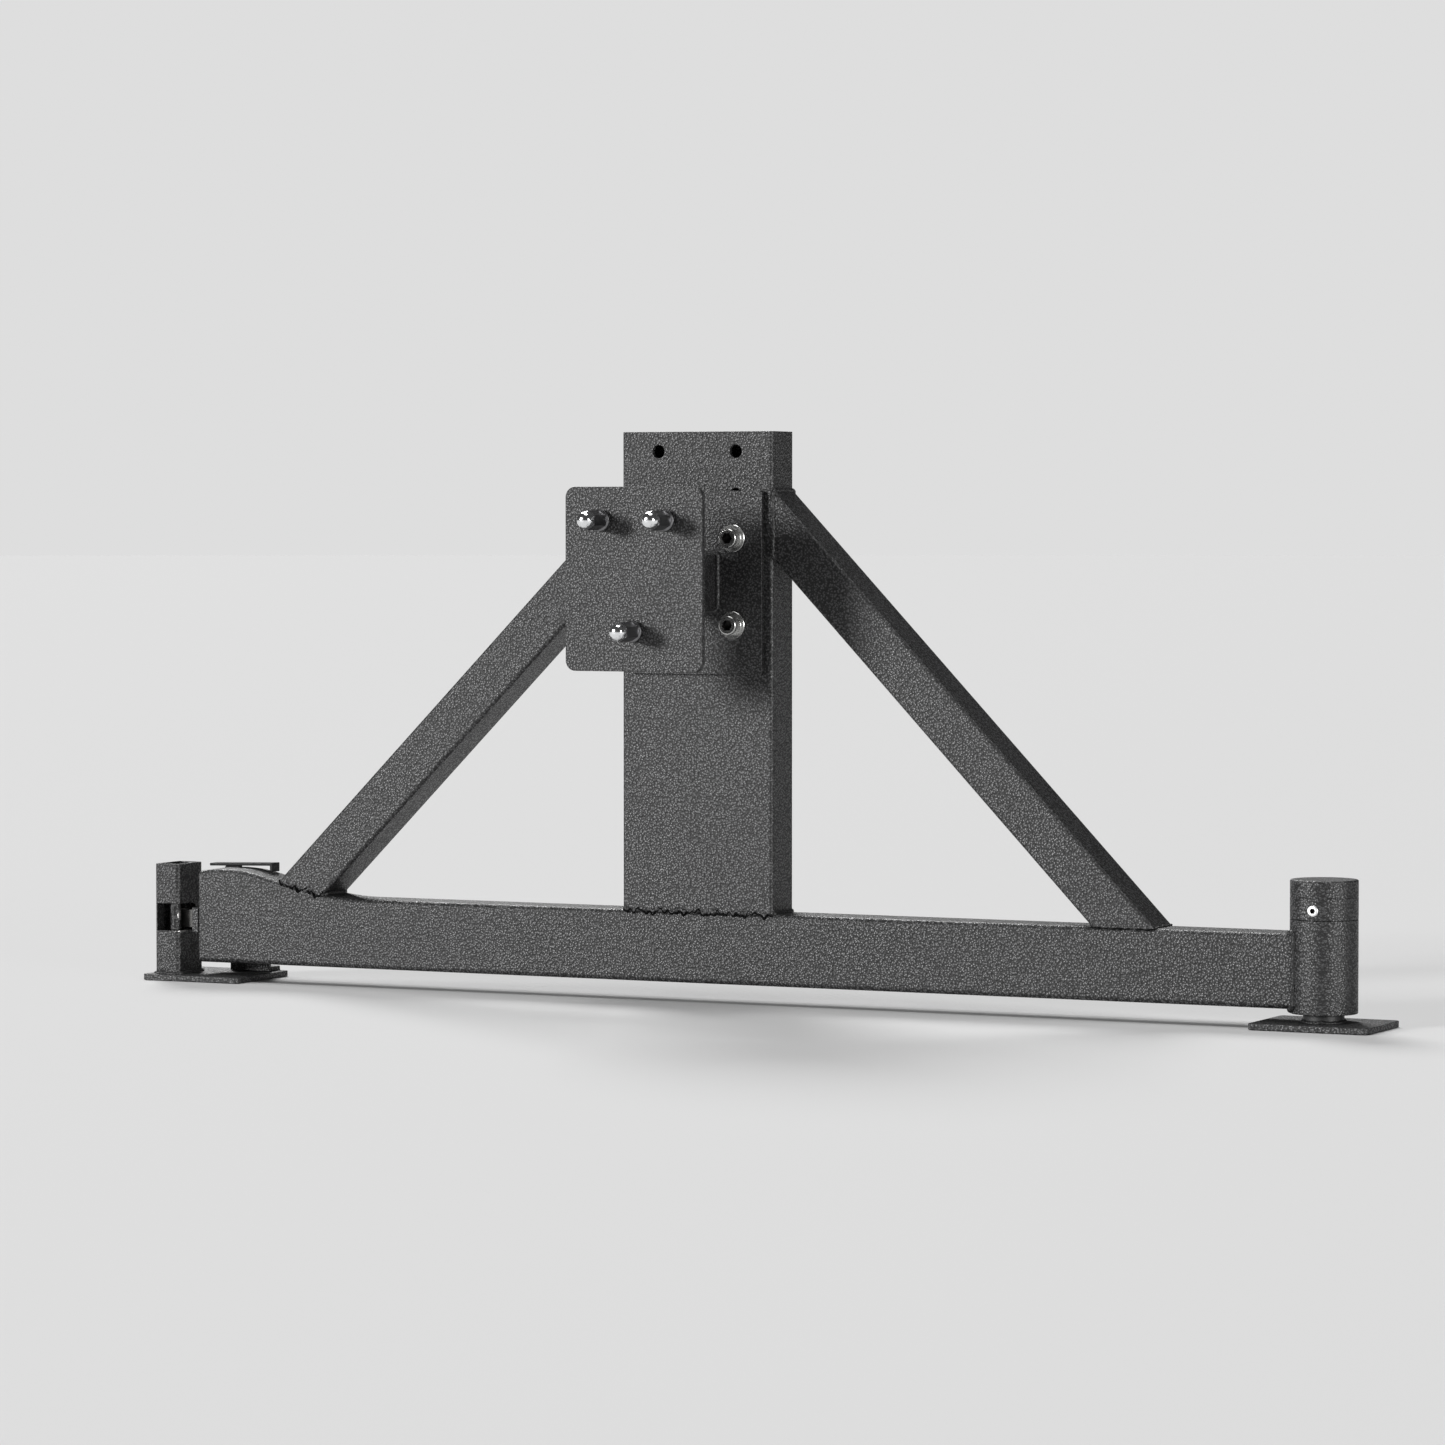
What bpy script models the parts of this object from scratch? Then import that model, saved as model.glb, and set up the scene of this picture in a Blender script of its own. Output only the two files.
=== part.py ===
"""Swing-away spare tire carrier: hinge on a spindle, welded arm with wheel mount, slam latch and its catch.

Metres, +Z up. The origin is on the hinge axis at the underside of the spindle's base plate. The arm runs
along -X from the hinge to the latch, and -Y is the side the spare wheel hangs on.
"""

import math

import bmesh
import bpy
import numpy as np

MM = 0.001
GAP = 0.3 * MM  # left between pieces that touch or are welded

# Main beam: a square-edged tube whose top rises into a flare at the latch end.
BEAM_LEFT, BEAM_BOTTOM, BEAM_TOP, BEAM_HALF = -1313 * MM, 19.8 * MM, 96 * MM, 25.4 * MM
WALL = 4.8 * MM
TUBE_ROUND = 4 * MM
FLARE = np.array([(-1313, 121.0), (-1302, 122.9), (-1290, 124.0), (-1274, 124.0), (-1257, 122.8),
                  (-1235, 118.6), (-1212, 112.8), (-1185, 106.4), (-1155, 100.3), (-1127.5, 96.9),
                  (-1108, 96.0)]) * MM

# Post and braces.
POST_X, POST_HALF, POST_TOP = -693 * MM, 88.9 * MM, 604.8 * MM
HOLE_X, HOLE_RADIUS, HOLE_PITCH, HOLE_TOP, HOLE_ROWS = 45.5 * MM, 7 * MM, 45.8 * MM, 583.9 * MM, 5

# Wheel mount.
PLATE_THICK = 6.35 * MM
MOUNT_LOW, MOUNT_HIGH, MOUNT_HALF = 348.5 * MM, 542.4 * MM, 79.4 * MM
MOUNT_BACK = -BEAM_HALF - GAP
MOUNT_FRONT = MOUNT_BACK - PLATE_THICK
SPACER_HALF_X, SPACER_LOW, SPACER_HIGH, SPACER_WALL = 26.6 * MM, 416.6 * MM, 476 * MM, 5 * MM
STUD_LOW, STUD_HIGH, STUD_FRONT = 354.9 * MM, 546.1 * MM, -172.7 * MM
STUD_BACK = STUD_FRONT + PLATE_THICK
STUD_CIRCLE, STUD_CENTRE_Z, STUD_RADIUS = 63.5 * MM, 459.9 * MM, 6 * MM
NUT_LENGTH = 42.7 * MM
BOLT_ROWS = (HOLE_TOP - 2 * HOLE_PITCH, HOLE_TOP - 4 * HOLE_PITCH)

# Hinge: a barrel on tapered roller bearings round a fixed spindle.
BARREL_RADIUS, BARREL_LOW, BARREL_HIGH = 34.5 * MM, 15.3 * MM, 110.3 * MM
CAP_HIGH, NECK_RADIUS, NECK_HIGH = 150.4 * MM, 29.7 * MM, 128 * MM
BORE, BORE_WAIST, CUP_RADIUS = 25.3 * MM, 22 * MM, 25 * MM
SPINDLE_RADIUS, THREAD_RADIUS, SPINDLE_TOP = 13.2 * MM, 12 * MM, 125 * MM
LOWER_BEARING, UPPER_BEARING, BEARING_WIDTH = 23.3 * MM, 88.6 * MM, 14.2 * MM
SCREW_Z = 120.5 * MM

# Latch: a sliding bolt, worked by a bell-crank handle and pushed out by a spring.
PIVOT_X, PIVOT_Z = -1303.3 * MM, 110.5 * MM
BOLT_Y0, BOLT_Y1 = -20.3 * MM, -8.3 * MM
BOLT_TIP, BOLT_SHOULDER, ROD_END = -1354 * MM, -1272 * MM, -1222 * MM
BOLT_LOW, BOLT_HIGH = 57.5 * MM, 77.5 * MM
ROD_Z, ROD_Y, ROD_RADIUS = 67.5 * MM, -14.3 * MM, 3.5 * MM
CRANK = (10.3 * MM, -44.5 * MM)
SPRING_PLATE = -1232 * MM

# Catch on the vehicle's side.
CATCH_X0, CATCH_X1, CATCH_Y0, CATCH_Y1 = -1360.4 * MM, -1328.4 * MM, -40.4 * MM, 10.4 * MM
CATCH_TOP, CATCH_WALL = 129 * MM, 3.6 * MM
NOTCH_LOW, NOTCH_HIGH, NOTCH_REAR = 54.6 * MM, 85.1 * MM, -16 * MM
KEEPER_X, KEEPER_Y, KEEPER_RADIUS = -1340 * MM, -28.6 * MM, 5.75 * MM

for old in list(bpy.data.objects):
    bpy.data.objects.remove(old)


def material(name, colour, roughness, metallic):
    made = bpy.data.materials.new(name)
    made.use_nodes = True
    shader = made.node_tree.nodes["Principled BSDF"]
    shader.inputs["Base Color"].default_value = (*colour, 1)
    shader.inputs["Roughness"].default_value = roughness
    shader.inputs["Metallic"].default_value = metallic
    return made


def node(name, points, faces, look, parent=None, at=(0, 0, 0)):
    """A named object from points in the object's frame; `at` is its origin. Faces are turned outwards."""
    mesh = bpy.data.meshes.new(name)
    mesh.from_pydata([tuple(p) for p in np.asarray(points, float) - np.asarray(at, float)], [], faces)
    shape = bmesh.new()
    shape.from_mesh(mesh)
    bmesh.ops.recalc_face_normals(shape, faces=shape.faces)
    shape.to_mesh(mesh)
    shape.free()
    made = bpy.data.objects.new(name, mesh)
    bpy.context.scene.collection.objects.link(made)
    made.location = at
    if parent is not None:
        made.parent = parent
        made.location = np.asarray(at, float) - np.asarray(parent["at"], float)
    if look is not None:
        mesh.materials.append(material(name, *look))
    return made


def pivot(name, at, parent=None):
    """An empty that stands on a joint's axis."""
    made = bpy.data.objects.new(name, None)
    bpy.context.scene.collection.objects.link(made)
    made["at"] = at
    made.location = at
    if parent is not None:
        made.parent = parent
        made.location = np.asarray(at, float) - np.asarray(parent["at"], float)
    return made


def loft(loops):
    """Closed solid through equal-length loops of points, with a face across each end."""
    count = len(loops[0])
    faces = [list(range(count)), list(range((len(loops) - 1) * count, len(loops) * count))]
    for row in range(len(loops) - 1):
        for i in range(count):
            j = (i + 1) % count
            faces.append([row * count + i, row * count + j, (row + 1) * count + j, (row + 1) * count + i])
    return np.concatenate(loops), faces


def pipe(outers, inners):
    """Hollow solid, open at both ends: outer and inner loops of the same length."""
    count, rows = len(outers[0]), len(outers)
    faces = []
    for base in (0, rows * count):
        for row in range(rows - 1):
            for i in range(count):
                j = (i + 1) % count
                a = base + row * count
                faces.append([a + i, a + j, a + count + j, a + count + i])
    for row in (0, rows - 1):
        for i in range(count):
            j = (i + 1) % count
            a, b = row * count, (rows + row) * count
            faces.append([a + i, a + j, b + j, b + i])
    return np.concatenate([*outers, *inners]), faces


def rounded(u0, u1, v0, v1, radius, steps=4):
    """Outline of a rectangle with round corners, as (u, v) rows."""
    out = []
    for cu, cv, start in ((u1, v1, 0), (u0, v1, 90), (u0, v0, 180), (u1, v0, 270)):
        su, sv = (1 if cu == u1 else -1), (1 if cv == v1 else -1)
        for turn in np.radians(start + np.linspace(0, 90, steps)):
            out.append((cu - su * radius + radius * math.cos(turn), cv - sv * radius + radius * math.sin(turn)))
    return np.array(out)


def circle(radius, count, turn=0.0):
    angle = np.arange(count) * math.tau / count + turn
    return np.column_stack([radius * np.cos(angle), radius * np.sin(angle)])


def hexed(half_width):
    """A hexagon's outline as 24 points, to pair with a circle of 24."""
    angle = np.arange(24) * math.tau / 24
    off = (angle + math.tau / 12) % (math.tau / 6) - math.tau / 12
    return circle(1, 24) * (half_width / np.cos(off))[:, None]


def placed(uv, axis, value):
    """Rows (u, v) put on the plane where the given axis has this value."""
    flat = np.full(len(uv), value)
    columns = {"x": (flat, uv[:, 0], uv[:, 1]), "y": (uv[:, 0], flat, uv[:, 1]), "z": (uv[:, 0], uv[:, 1], flat)}
    return np.column_stack(columns[axis])


def slab(outline, axis, start, end):
    return loft([placed(outline, axis, start), placed(outline, axis, end)])


def rod(axis, centre, stations, count=24, turn=0.0):
    """Solid of round sections: stations are (position along the axis, radius)."""
    return loft([placed(circle(radius, count, turn) + centre, axis, at) for at, radius in stations])


def lathe(profile, count):
    """Ring round the Z axis from a closed profile of (radius, height) that stays off the axis."""
    turned = [np.column_stack([circle(r, count), np.full(count, z)]) for r, z in profile]
    faces = []
    for row in range(len(turned)):
        after = (row + 1) % len(turned)
        for i in range(count):
            j = (i + 1) % count
            faces.append([row * count + i, row * count + j, after * count + j, after * count + i])
    return np.concatenate(turned), faces


def box(x0, x1, y0, y1, z0, z1):
    return slab(np.array([(x0, y0), (x1, y0), (x1, y1), (x0, y1)]), "z", z0, z1)


def several(*shapes):
    """One list of points and faces for several separate closed shapes."""
    points, faces, shift = [], [], 0
    for some, more in shapes:
        points.append(some)
        faces += [[index + shift for index in face] for face in more]
        shift += len(some)
    return np.concatenate(points), faces


def change(body, operation, shape):
    """Cut a shape from a body, or join it on, with a hidden helper."""
    helper = node(f"{body.name}_{operation.lower()}_{len(body.modifiers)}", *shape, None)
    helper.hide_render = True
    helper.display_type = "WIRE"
    step = body.modifiers.new(operation.lower(), "BOOLEAN")
    step.operation = operation
    step.solver = "EXACT"
    step.object = helper


def smooth(body, degrees=32):
    body.data.shade_smooth()
    body.data.set_sharp_from_angle(angle=math.radians(degrees))


COAT = ((0.035, 0.036, 0.038), 0.52, 0.0)
ZINC = ((0.62, 0.62, 0.60), 0.28, 1.0)
CHROME = ((0.78, 0.79, 0.80), 0.08, 1.0)
STEEL = ((0.42, 0.41, 0.40), 0.35, 1.0)
RUBBER = ((0.02, 0.02, 0.021), 0.85, 0.0)

swing = pivot("swing_axis", (0, 0, 0))
lever = pivot("handle_axis", (PIVOT_X, 0, PIVOT_Z), swing)
slide = pivot("bolt_axis", (BOLT_SHOULDER, ROD_Y, ROD_Z), swing)


# Hinge, fixed side: base plate, spindle, the bearings' cones and rollers, washer, nut and pin.
node("spindle_base", *slab(rounded(-64 * MM, 64 * MM, -50 * MM, 50 * MM, 6 * MM), "z", 0, PLATE_THICK), COAT)

spindle = node("spindle", *rod("z", (0, 0), [
    (PLATE_THICK + GAP, 20.8 * MM), (14 * MM, 20.8 * MM), (15 * MM, 19.8 * MM), (15.01 * MM, 17 * MM),
    (LOWER_BEARING - GAP, 17 * MM), (LOWER_BEARING - 0.29 * MM, SPINDLE_RADIUS), (103 * MM, SPINDLE_RADIUS),
    (103.5 * MM, THREAD_RADIUS), (SPINDLE_TOP - 1.5 * MM, THREAD_RADIUS), (SPINDLE_TOP, THREAD_RADIUS - 1.5 * MM),
], 32), STEEL)
change(spindle, "DIFFERENCE", rod("x", (0, 116.5 * MM), [(-20 * MM, 2 * MM), (20 * MM, 2 * MM)], 12))
smooth(spindle)


def bearing(which, low, up):
    """Tapered roller bearing. `up` is 1 where its wide end faces up, else -1."""
    near, far = (low, low + BEARING_WIDTH) if up < 0 else (low + BEARING_WIDTH, low)
    step = (far - near) / BEARING_WIDTH

    def z(along):
        return near + step * along

    cone = [(13.5, 0), (18.9, 0), (18.9, 1.2 * MM), (18.5, 1.4 * MM), (16.4, 13.2 * MM), (16.4, 14.2 * MM),
            (13.5, 14.2 * MM)]
    smooth(node(f"{which}_bearing_cone", *lathe([(r * MM, z(a)) for r, a in cone], 26), STEEL))
    cup = [(25, 0), (23.7, 0), (21.3, 14.2 * MM), (25, 14.2 * MM)]
    smooth(node(f"{which}_bearing_cup", *lathe([(r * MM, z(a)) for r, a in cup], 26), STEEL, swing))
    lean = (21.3 - 23.7) / 14.2
    rollers = []
    for turn in np.arange(13) * math.tau / 13:
        loops = []
        for along in (2.2, 12.6):
            mid = 21.35 + lean * along
            ring = circle(2.05, 8)
            x = (mid + ring[:, 0]) * MM
            y = ring[:, 1] * MM
            loops.append(np.column_stack([x * math.cos(turn) - y * math.sin(turn),
                                          x * math.sin(turn) + y * math.cos(turn),
                                          np.full(8, z(along * MM))]))
        rollers.append(loft(loops))
    shell = [(mid + 21.35 + lean * along, along) for mid, along in
             ((-0.6, 1.6), (0.6, 1.6), (0.6, 13.2), (-0.6, 13.2))]
    cage = node(f"{which}_bearing_rollers", *lathe([(r * MM, z(a * MM)) for r, a in shell], 26), STEEL)
    change(cage, "UNION", several(*rollers))
    smooth(cage)


bearing("lower", LOWER_BEARING, -1)
bearing("upper", UPPER_BEARING, 1)

smooth(node("thrust_washer", *lathe([(12.4 * MM, 103.8 * MM), (20 * MM, 103.8 * MM), (20 * MM, 106.2 * MM),
                                     (12.4 * MM, 106.2 * MM)], 32), STEEL))
nut = node("castle_nut", *pipe([placed(hexed(18 * MM), "z", z) for z in (106.5 * MM, 121 * MM)],
                               [placed(circle(12.3 * MM, 24), "z", z) for z in (106.5 * MM, 121 * MM)]), ZINC)
change(nut, "DIFFERENCE", box(-30 * MM, 30 * MM, -2.2 * MM, 2.2 * MM, 114.2 * MM, 125 * MM))
pin_bent = rod("x", (0, 116.5 * MM), [(-20 * MM, 1.2 * MM), (-19.6 * MM, 1.6 * MM), (19 * MM, 1.6 * MM),
                                     (19.4 * MM, 2.6 * MM), (22 * MM, 3 * MM), (23.6 * MM, 1.6 * MM)], 12)
smooth(node("cotter_pin", *pin_bent, ZINC))

# Hinge, moving side: seal, barrel, cap and the screw that locks it.
smooth(node("grease_seal", *lathe([(17.3 * MM, 16 * MM), (25 * MM, 16 * MM), (25 * MM, 22.9 * MM),
                                   (17.3 * MM, 22.9 * MM)], 32), RUBBER, swing))
barrel = node("hinge_barrel", *lathe([
    (BORE, BARREL_LOW), (BARREL_RADIUS - 0.8 * MM, BARREL_LOW), (BARREL_RADIUS, BARREL_LOW + 0.8 * MM),
    (BARREL_RADIUS, BARREL_HIGH - 0.5 * MM), (BARREL_RADIUS - 0.5 * MM, BARREL_HIGH), (NECK_RADIUS, BARREL_HIGH),
    (NECK_RADIUS, NECK_HIGH), (BORE, NECK_HIGH), (BORE, UPPER_BEARING - GAP), (BORE_WAIST, UPPER_BEARING - GAP),
    (BORE_WAIST, LOWER_BEARING + BEARING_WIDTH + GAP), (BORE, LOWER_BEARING + BEARING_WIDTH + GAP),
], 48), COAT, swing)
change(barrel, "DIFFERENCE", rod("y", (0, SCREW_Z), [(-40 * MM, 3.3 * MM), (-15 * MM, 3.3 * MM)], 16))
smooth(barrel)
cap = node("hinge_cap", *lathe([
    (NECK_RADIUS + GAP, BARREL_HIGH + GAP), (BARREL_RADIUS - 0.5 * MM, BARREL_HIGH + GAP),
    (BARREL_RADIUS, BARREL_HIGH + GAP + 0.5 * MM), (BARREL_RADIUS, CAP_HIGH - 2 * MM),
    (BARREL_RADIUS - 0.6 * MM, CAP_HIGH - 0.6 * MM), (BARREL_RADIUS - 2 * MM, CAP_HIGH), (12 * MM, CAP_HIGH),
    (0.5 * MM, CAP_HIGH), (0.5 * MM, CAP_HIGH - 6 * MM), (NECK_RADIUS + GAP, CAP_HIGH - 6 * MM),
], 48), COAT, swing)
change(cap, "UNION", rod("z", (0, 0), [(CAP_HIGH - 6 * MM, 5 * MM), (CAP_HIGH, 5 * MM)], 48))
change(cap, "DIFFERENCE", rod("y", (0, SCREW_Z), [(-40 * MM, 6.05 * MM), (-15 * MM, 6.05 * MM)], 24))
smooth(cap)
screw = node("cap_screw", *rod("y", (0, SCREW_Z), [
    (-35 * MM, 4.9 * MM), (-34.5 * MM, 5.75 * MM), (-30.3 * MM, 5.75 * MM), (-30.29 * MM, 3 * MM),
    (-26.6 * MM, 3 * MM)], 24), ZINC, swing)
change(screw, "DIFFERENCE", slab(circle(2.1 * MM, 6) + (0, SCREW_Z), "y", -40 * MM, -31.5 * MM))
smooth(screw)


# Main beam.
def flare_top(x):
    """Height of the beam's top face at x: a smooth curve through the flare's stations."""
    if x >= FLARE[-1, 0]:
        return BEAM_TOP
    step = int(np.clip(np.searchsorted(FLARE[:, 0], x) - 1, 0, len(FLARE) - 2))
    slopes = np.gradient(FLARE[:, 1], FLARE[:, 0])
    slopes[-1] = 0
    x0, x1 = FLARE[step, 0], FLARE[step + 1, 0]
    t = (x - x0) / (x1 - x0)
    return ((2 * t**3 - 3 * t**2 + 1) * FLARE[step, 1] + (t**3 - 2 * t**2 + t) * (x1 - x0) * slopes[step]
            + (3 * t**2 - 2 * t**3) * FLARE[step + 1, 1] + (t**3 - t**2) * (x1 - x0) * slopes[step + 1])


stations = [*np.linspace(BEAM_LEFT, FLARE[-1, 0], 19), -20 * MM]
outers, inners = [], []
for x in stations:
    top = flare_top(x)
    outers.append(placed(rounded(-BEAM_HALF, BEAM_HALF, BEAM_BOTTOM, top, TUBE_ROUND), "x", x))
    inners.append(placed(rounded(-BEAM_HALF + WALL, BEAM_HALF - WALL, BEAM_BOTTOM + WALL, top - WALL, 0.6 * MM),
                         "x", x))
beam = node("main_beam", *pipe(outers, inners), COAT, swing)
change(beam, "DIFFERENCE", rod("z", (0, 0), [(0, BARREL_RADIUS + GAP), (150 * MM, BARREL_RADIUS + GAP)], 96))
change(beam, "DIFFERENCE", box(PIVOT_X - 6 * MM, PIVOT_X + 26 * MM, 10 * MM, 18 * MM, 108 * MM, 140 * MM))
smooth(beam)

# End plate inside the beam's end, with the nose that guides the bolt.
lip = WALL + GAP
end_plate = node("end_plate", *slab(rounded(-BEAM_HALF + lip, BEAM_HALF - lip, BEAM_BOTTOM + lip,
                                            flare_top(BEAM_LEFT) - lip, 1 * MM), "x",
                                    BEAM_LEFT + GAP, BEAM_LEFT + GAP + 3 * MM), COAT, swing)
nose = several(slab(rounded(-BEAM_HALF, -4 * MM, 51.6 * MM, 80.2 * MM, 2 * MM), "x",
                    BEAM_LEFT - 8 * MM, BEAM_LEFT - GAP))
inner_nose = slab(rounded(-20.2 * MM, -4 * MM, 51.6 * MM, 80.2 * MM, 0.5 * MM), "x",
                  BEAM_LEFT - 2 * MM, BEAM_LEFT + 1 * MM)
change(end_plate, "UNION", nose)
change(end_plate, "UNION", inner_nose)
change(end_plate, "DIFFERENCE", box(BEAM_LEFT - 20 * MM, BEAM_LEFT + 20 * MM, BOLT_Y0 - GAP, BOLT_Y1 + GAP,
                                    BOLT_LOW - GAP, BOLT_HIGH + GAP))

# Post with its two columns of holes, closed by a plate let into its top.
post = node("post", *pipe(
    [placed(rounded(POST_X - POST_HALF, POST_X + POST_HALF, -BEAM_HALF, BEAM_HALF, TUBE_ROUND), "z", z)
     for z in (BEAM_TOP + GAP, POST_TOP)],
    [placed(rounded(POST_X - POST_HALF + WALL, POST_X + POST_HALF - WALL, -BEAM_HALF + WALL, BEAM_HALF - WALL,
                    0.6 * MM), "z", z) for z in (BEAM_TOP + GAP, POST_TOP)]), COAT, swing)
holes = []
for row in range(HOLE_ROWS):
    for side in (-1, 1):
        centre = (POST_X + side * HOLE_X, HOLE_TOP - row * HOLE_PITCH)
        holes.append(rod("y", centre, [(-40 * MM, HOLE_RADIUS), (40 * MM, HOLE_RADIUS)], 16))
change(post, "DIFFERENCE", several(*holes))
smooth(post)
node("post_cap", *slab(rounded(POST_X - POST_HALF + lip, POST_X + POST_HALF - lip, -BEAM_HALF + lip,
                               BEAM_HALF - lip, 1 * MM), "z", POST_TOP - 4.5 * MM, POST_TOP - 0.2 * MM), COAT, swing)


# Braces: square tubes cut to the post's side above and to the beam's top below.
def brace(name, side, upper, lower):
    """upper and lower are the (x, z) ends of the front face's edges, foot first."""
    upper, lower = np.array(upper) * MM, np.array(lower) * MM
    along = (upper[1] - upper[0]) / np.linalg.norm(upper[1] - upper[0])
    across = np.array([-along[1], along[0]]) if side > 0 else np.array([along[1], -along[0]])
    half = abs(np.dot(upper[0] - lower[0], across)) / 2
    middle = (upper[0] + lower[0]) / 2
    wall_x = POST_X + side * (POST_HALF + GAP)

    def line(offset):
        """Foot and head of the tube's line at this offset across its width."""
        start = middle + across * offset
        head = start + along * ((wall_x - start[0]) / along[0])
        low, high = -0.2, 0.2
        for _ in range(50):
            mid = (low + high) / 2
            point = start + along * mid
            if point[1] > flare_top(point[0]) + GAP:
                high = mid
            else:
                low = mid
        return start + along * high, head

    def ends(loop):
        made = [[], []]
        for v, y in loop:
            for found, end in zip(made, line(v)):
                found.append((end[0], y, end[1]))
        return [np.array(found) for found in made]

    outer = ends(rounded(-half, half, -BEAM_HALF, BEAM_HALF, TUBE_ROUND))
    inner = ends(rounded(-half + WALL, half - WALL, -BEAM_HALF + WALL, BEAM_HALF - WALL, 0.6 * MM))
    smooth(node(name, *pipe(outer, inner), COAT, swing))


brace("left_brace", -1, [(-1226.5, 96), (-781.9, 538)], [(-1155.5, 96), (-781.9, 467.4)])
brace("right_brace", 1, [(-172.5, 96), (-604.1, 543.5)], [(-243, 96), (-604.1, 470.4)])

# Wheel mount: rear plate bolted to the post, spacer tube, stud plate.
mount = node("mount_plate", *slab(rounded(POST_X - MOUNT_HALF, POST_X + MOUNT_HALF, MOUNT_LOW, MOUNT_HIGH, 3 * MM),
                                  "y", MOUNT_FRONT, MOUNT_BACK), COAT, swing)
bolts = [(POST_X + side * HOLE_X, z) for z in BOLT_ROWS for side in (-1, 1)]
change(mount, "DIFFERENCE", several(*[rod("y", at, [(-60 * MM, 6.5 * MM), (0, 6.5 * MM)], 20) for at in bolts]))
spacer_ends = (MOUNT_FRONT - GAP, STUD_BACK + GAP)
smooth(node("spacer_tube", *pipe(
    [placed(rounded(POST_X - SPACER_HALF_X, POST_X + SPACER_HALF_X, SPACER_LOW, SPACER_HIGH, TUBE_ROUND), "y", y)
     for y in spacer_ends],
    [placed(rounded(POST_X - SPACER_HALF_X + SPACER_WALL, POST_X + SPACER_HALF_X - SPACER_WALL,
                    SPACER_LOW + SPACER_WALL, SPACER_HIGH - SPACER_WALL, 0.6 * MM), "y", y)
     for y in spacer_ends]), COAT, swing))
stud_plate = node("stud_plate", *slab(rounded(POST_X - MOUNT_HALF, POST_X + MOUNT_HALF, STUD_LOW, STUD_HIGH,
                                              11 * MM, 7), "y", STUD_FRONT, STUD_BACK), COAT, swing)
studs = [(POST_X + STUD_CIRCLE * math.sin(turn), STUD_CENTRE_Z + STUD_CIRCLE * math.cos(turn))
         for turn in (-math.tau / 10, math.tau / 10, math.pi)]
change(stud_plate, "DIFFERENCE", several(*[rod("y", at, [(-190 * MM, STUD_RADIUS + GAP),
                                                         (-150 * MM, STUD_RADIUS + GAP)], 20) for at in studs]))
smooth(stud_plate)

# Mount bolts through the post, each with a washer in front and a nut behind.
for number, at in enumerate(bolts, 1):
    front = MOUNT_FRONT - GAP
    smooth(node(f"mount_washer_{number}", *pipe(
        [placed(circle(14.5 * MM, 28) + at, "y", y) for y in (front, front - 2.5 * MM)],
        [placed(circle(6.5 * MM, 28) + at, "y", y) for y in (front, front - 2.5 * MM)]), ZINC, swing))
    seat = front - 2.8 * MM
    bolt = node(f"mount_bolt_{number}", *rod("y", at, [
        (seat - 11.5 * MM, 9.3 * MM), (seat - 10.5 * MM, 10.3 * MM), (seat, 10.3 * MM), (seat + 0.01 * MM, 6 * MM),
        (39.5 * MM, 6 * MM), (40.5 * MM, 5 * MM)], 24), ZINC, swing)
    change(bolt, "DIFFERENCE", slab(circle(5.8 * MM, 6) + at, "y", seat - 20 * MM, seat - 5 * MM))
    smooth(bolt)
    behind = (BEAM_HALF + GAP, BEAM_HALF + GAP + 10.8 * MM)
    node(f"mount_nut_{number}", *pipe([placed(hexed(9.2 * MM) + at, "y", y) for y in behind],
                                      [placed(circle(6.3 * MM, 24) + at, "y", y) for y in behind]), ZINC, swing)

# Wheel studs pressed into the stud plate, each with a closed lug nut.
for number, at in enumerate(studs, 1):
    smooth(node(f"wheel_stud_{number}", *rod("y", at, [
        (STUD_FRONT - 31 * MM, 5 * MM), (STUD_FRONT - 30 * MM, STUD_RADIUS), (STUD_BACK + GAP, STUD_RADIUS),
        (STUD_BACK + 0.31 * MM, 8.5 * MM), (STUD_BACK + 5 * MM, 8.5 * MM), (STUD_BACK + 5.8 * MM, 7.5 * MM)], 24),
        ZINC, swing))
    y = STUD_FRONT - GAP
    lug = node(f"lug_nut_{number}", *rod("y", at, [
        (y - NUT_LENGTH, 3 * MM), (y - NUT_LENGTH + 1.2 * MM, 5.6 * MM), (y - NUT_LENGTH + 3.6 * MM, 8 * MM),
        (y - NUT_LENGTH + 7 * MM, 9.1 * MM), (y - NUT_LENGTH + 9 * MM, 10.5 * MM), (y - 8 * MM, 10.5 * MM),
        (y - 6.5 * MM, 12 * MM), (y - 4 * MM, 12 * MM), (y, 8.5 * MM)], 24), CHROME, swing)
    change(lug, "DIFFERENCE", rod("y", at, [(y - 33 * MM, STUD_RADIUS + GAP), (y + 5 * MM, STUD_RADIUS + GAP)], 20))
    smooth(lug)


# Handle: grip bar over the flare, arm down through its slot, hub round the pivot pin, and crank to the bolt.
def polygon(*points):
    return np.array(points) * MM


handle = node("latch_handle", *slab(polygon((-1318, 125.0), (-1240, 127.0), (-1240, 120.3), (-1236, 120.2),
                                            (-1236, 129.8), (-1238, 130.3), (-1316, 128.2), (-1318, 127.6)),
                                    "y", 7.6 * MM, 22.6 * MM), COAT, lever, (PIVOT_X, 0, PIVOT_Z))
arm = np.array([(-4, -3.5), (4, -5), (22, 12), (22, 17.5), (6, 18), (-5.4, 1.6)]) * MM + (PIVOT_X, PIVOT_Z)
change(handle, "UNION", slab(arm, "y", 11 * MM, 17 * MM))
change(handle, "UNION", rod("y", (PIVOT_X, PIVOT_Z), [(-18 * MM, 6 * MM), (18 * MM, 6 * MM)], 24))
along = np.array(CRANK) / math.hypot(*CRANK)
across = np.array((-along[1], along[0]))
tip = circle(4 * MM, 24) + (PIVOT_X + CRANK[0], PIVOT_Z + CRANK[1])
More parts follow.
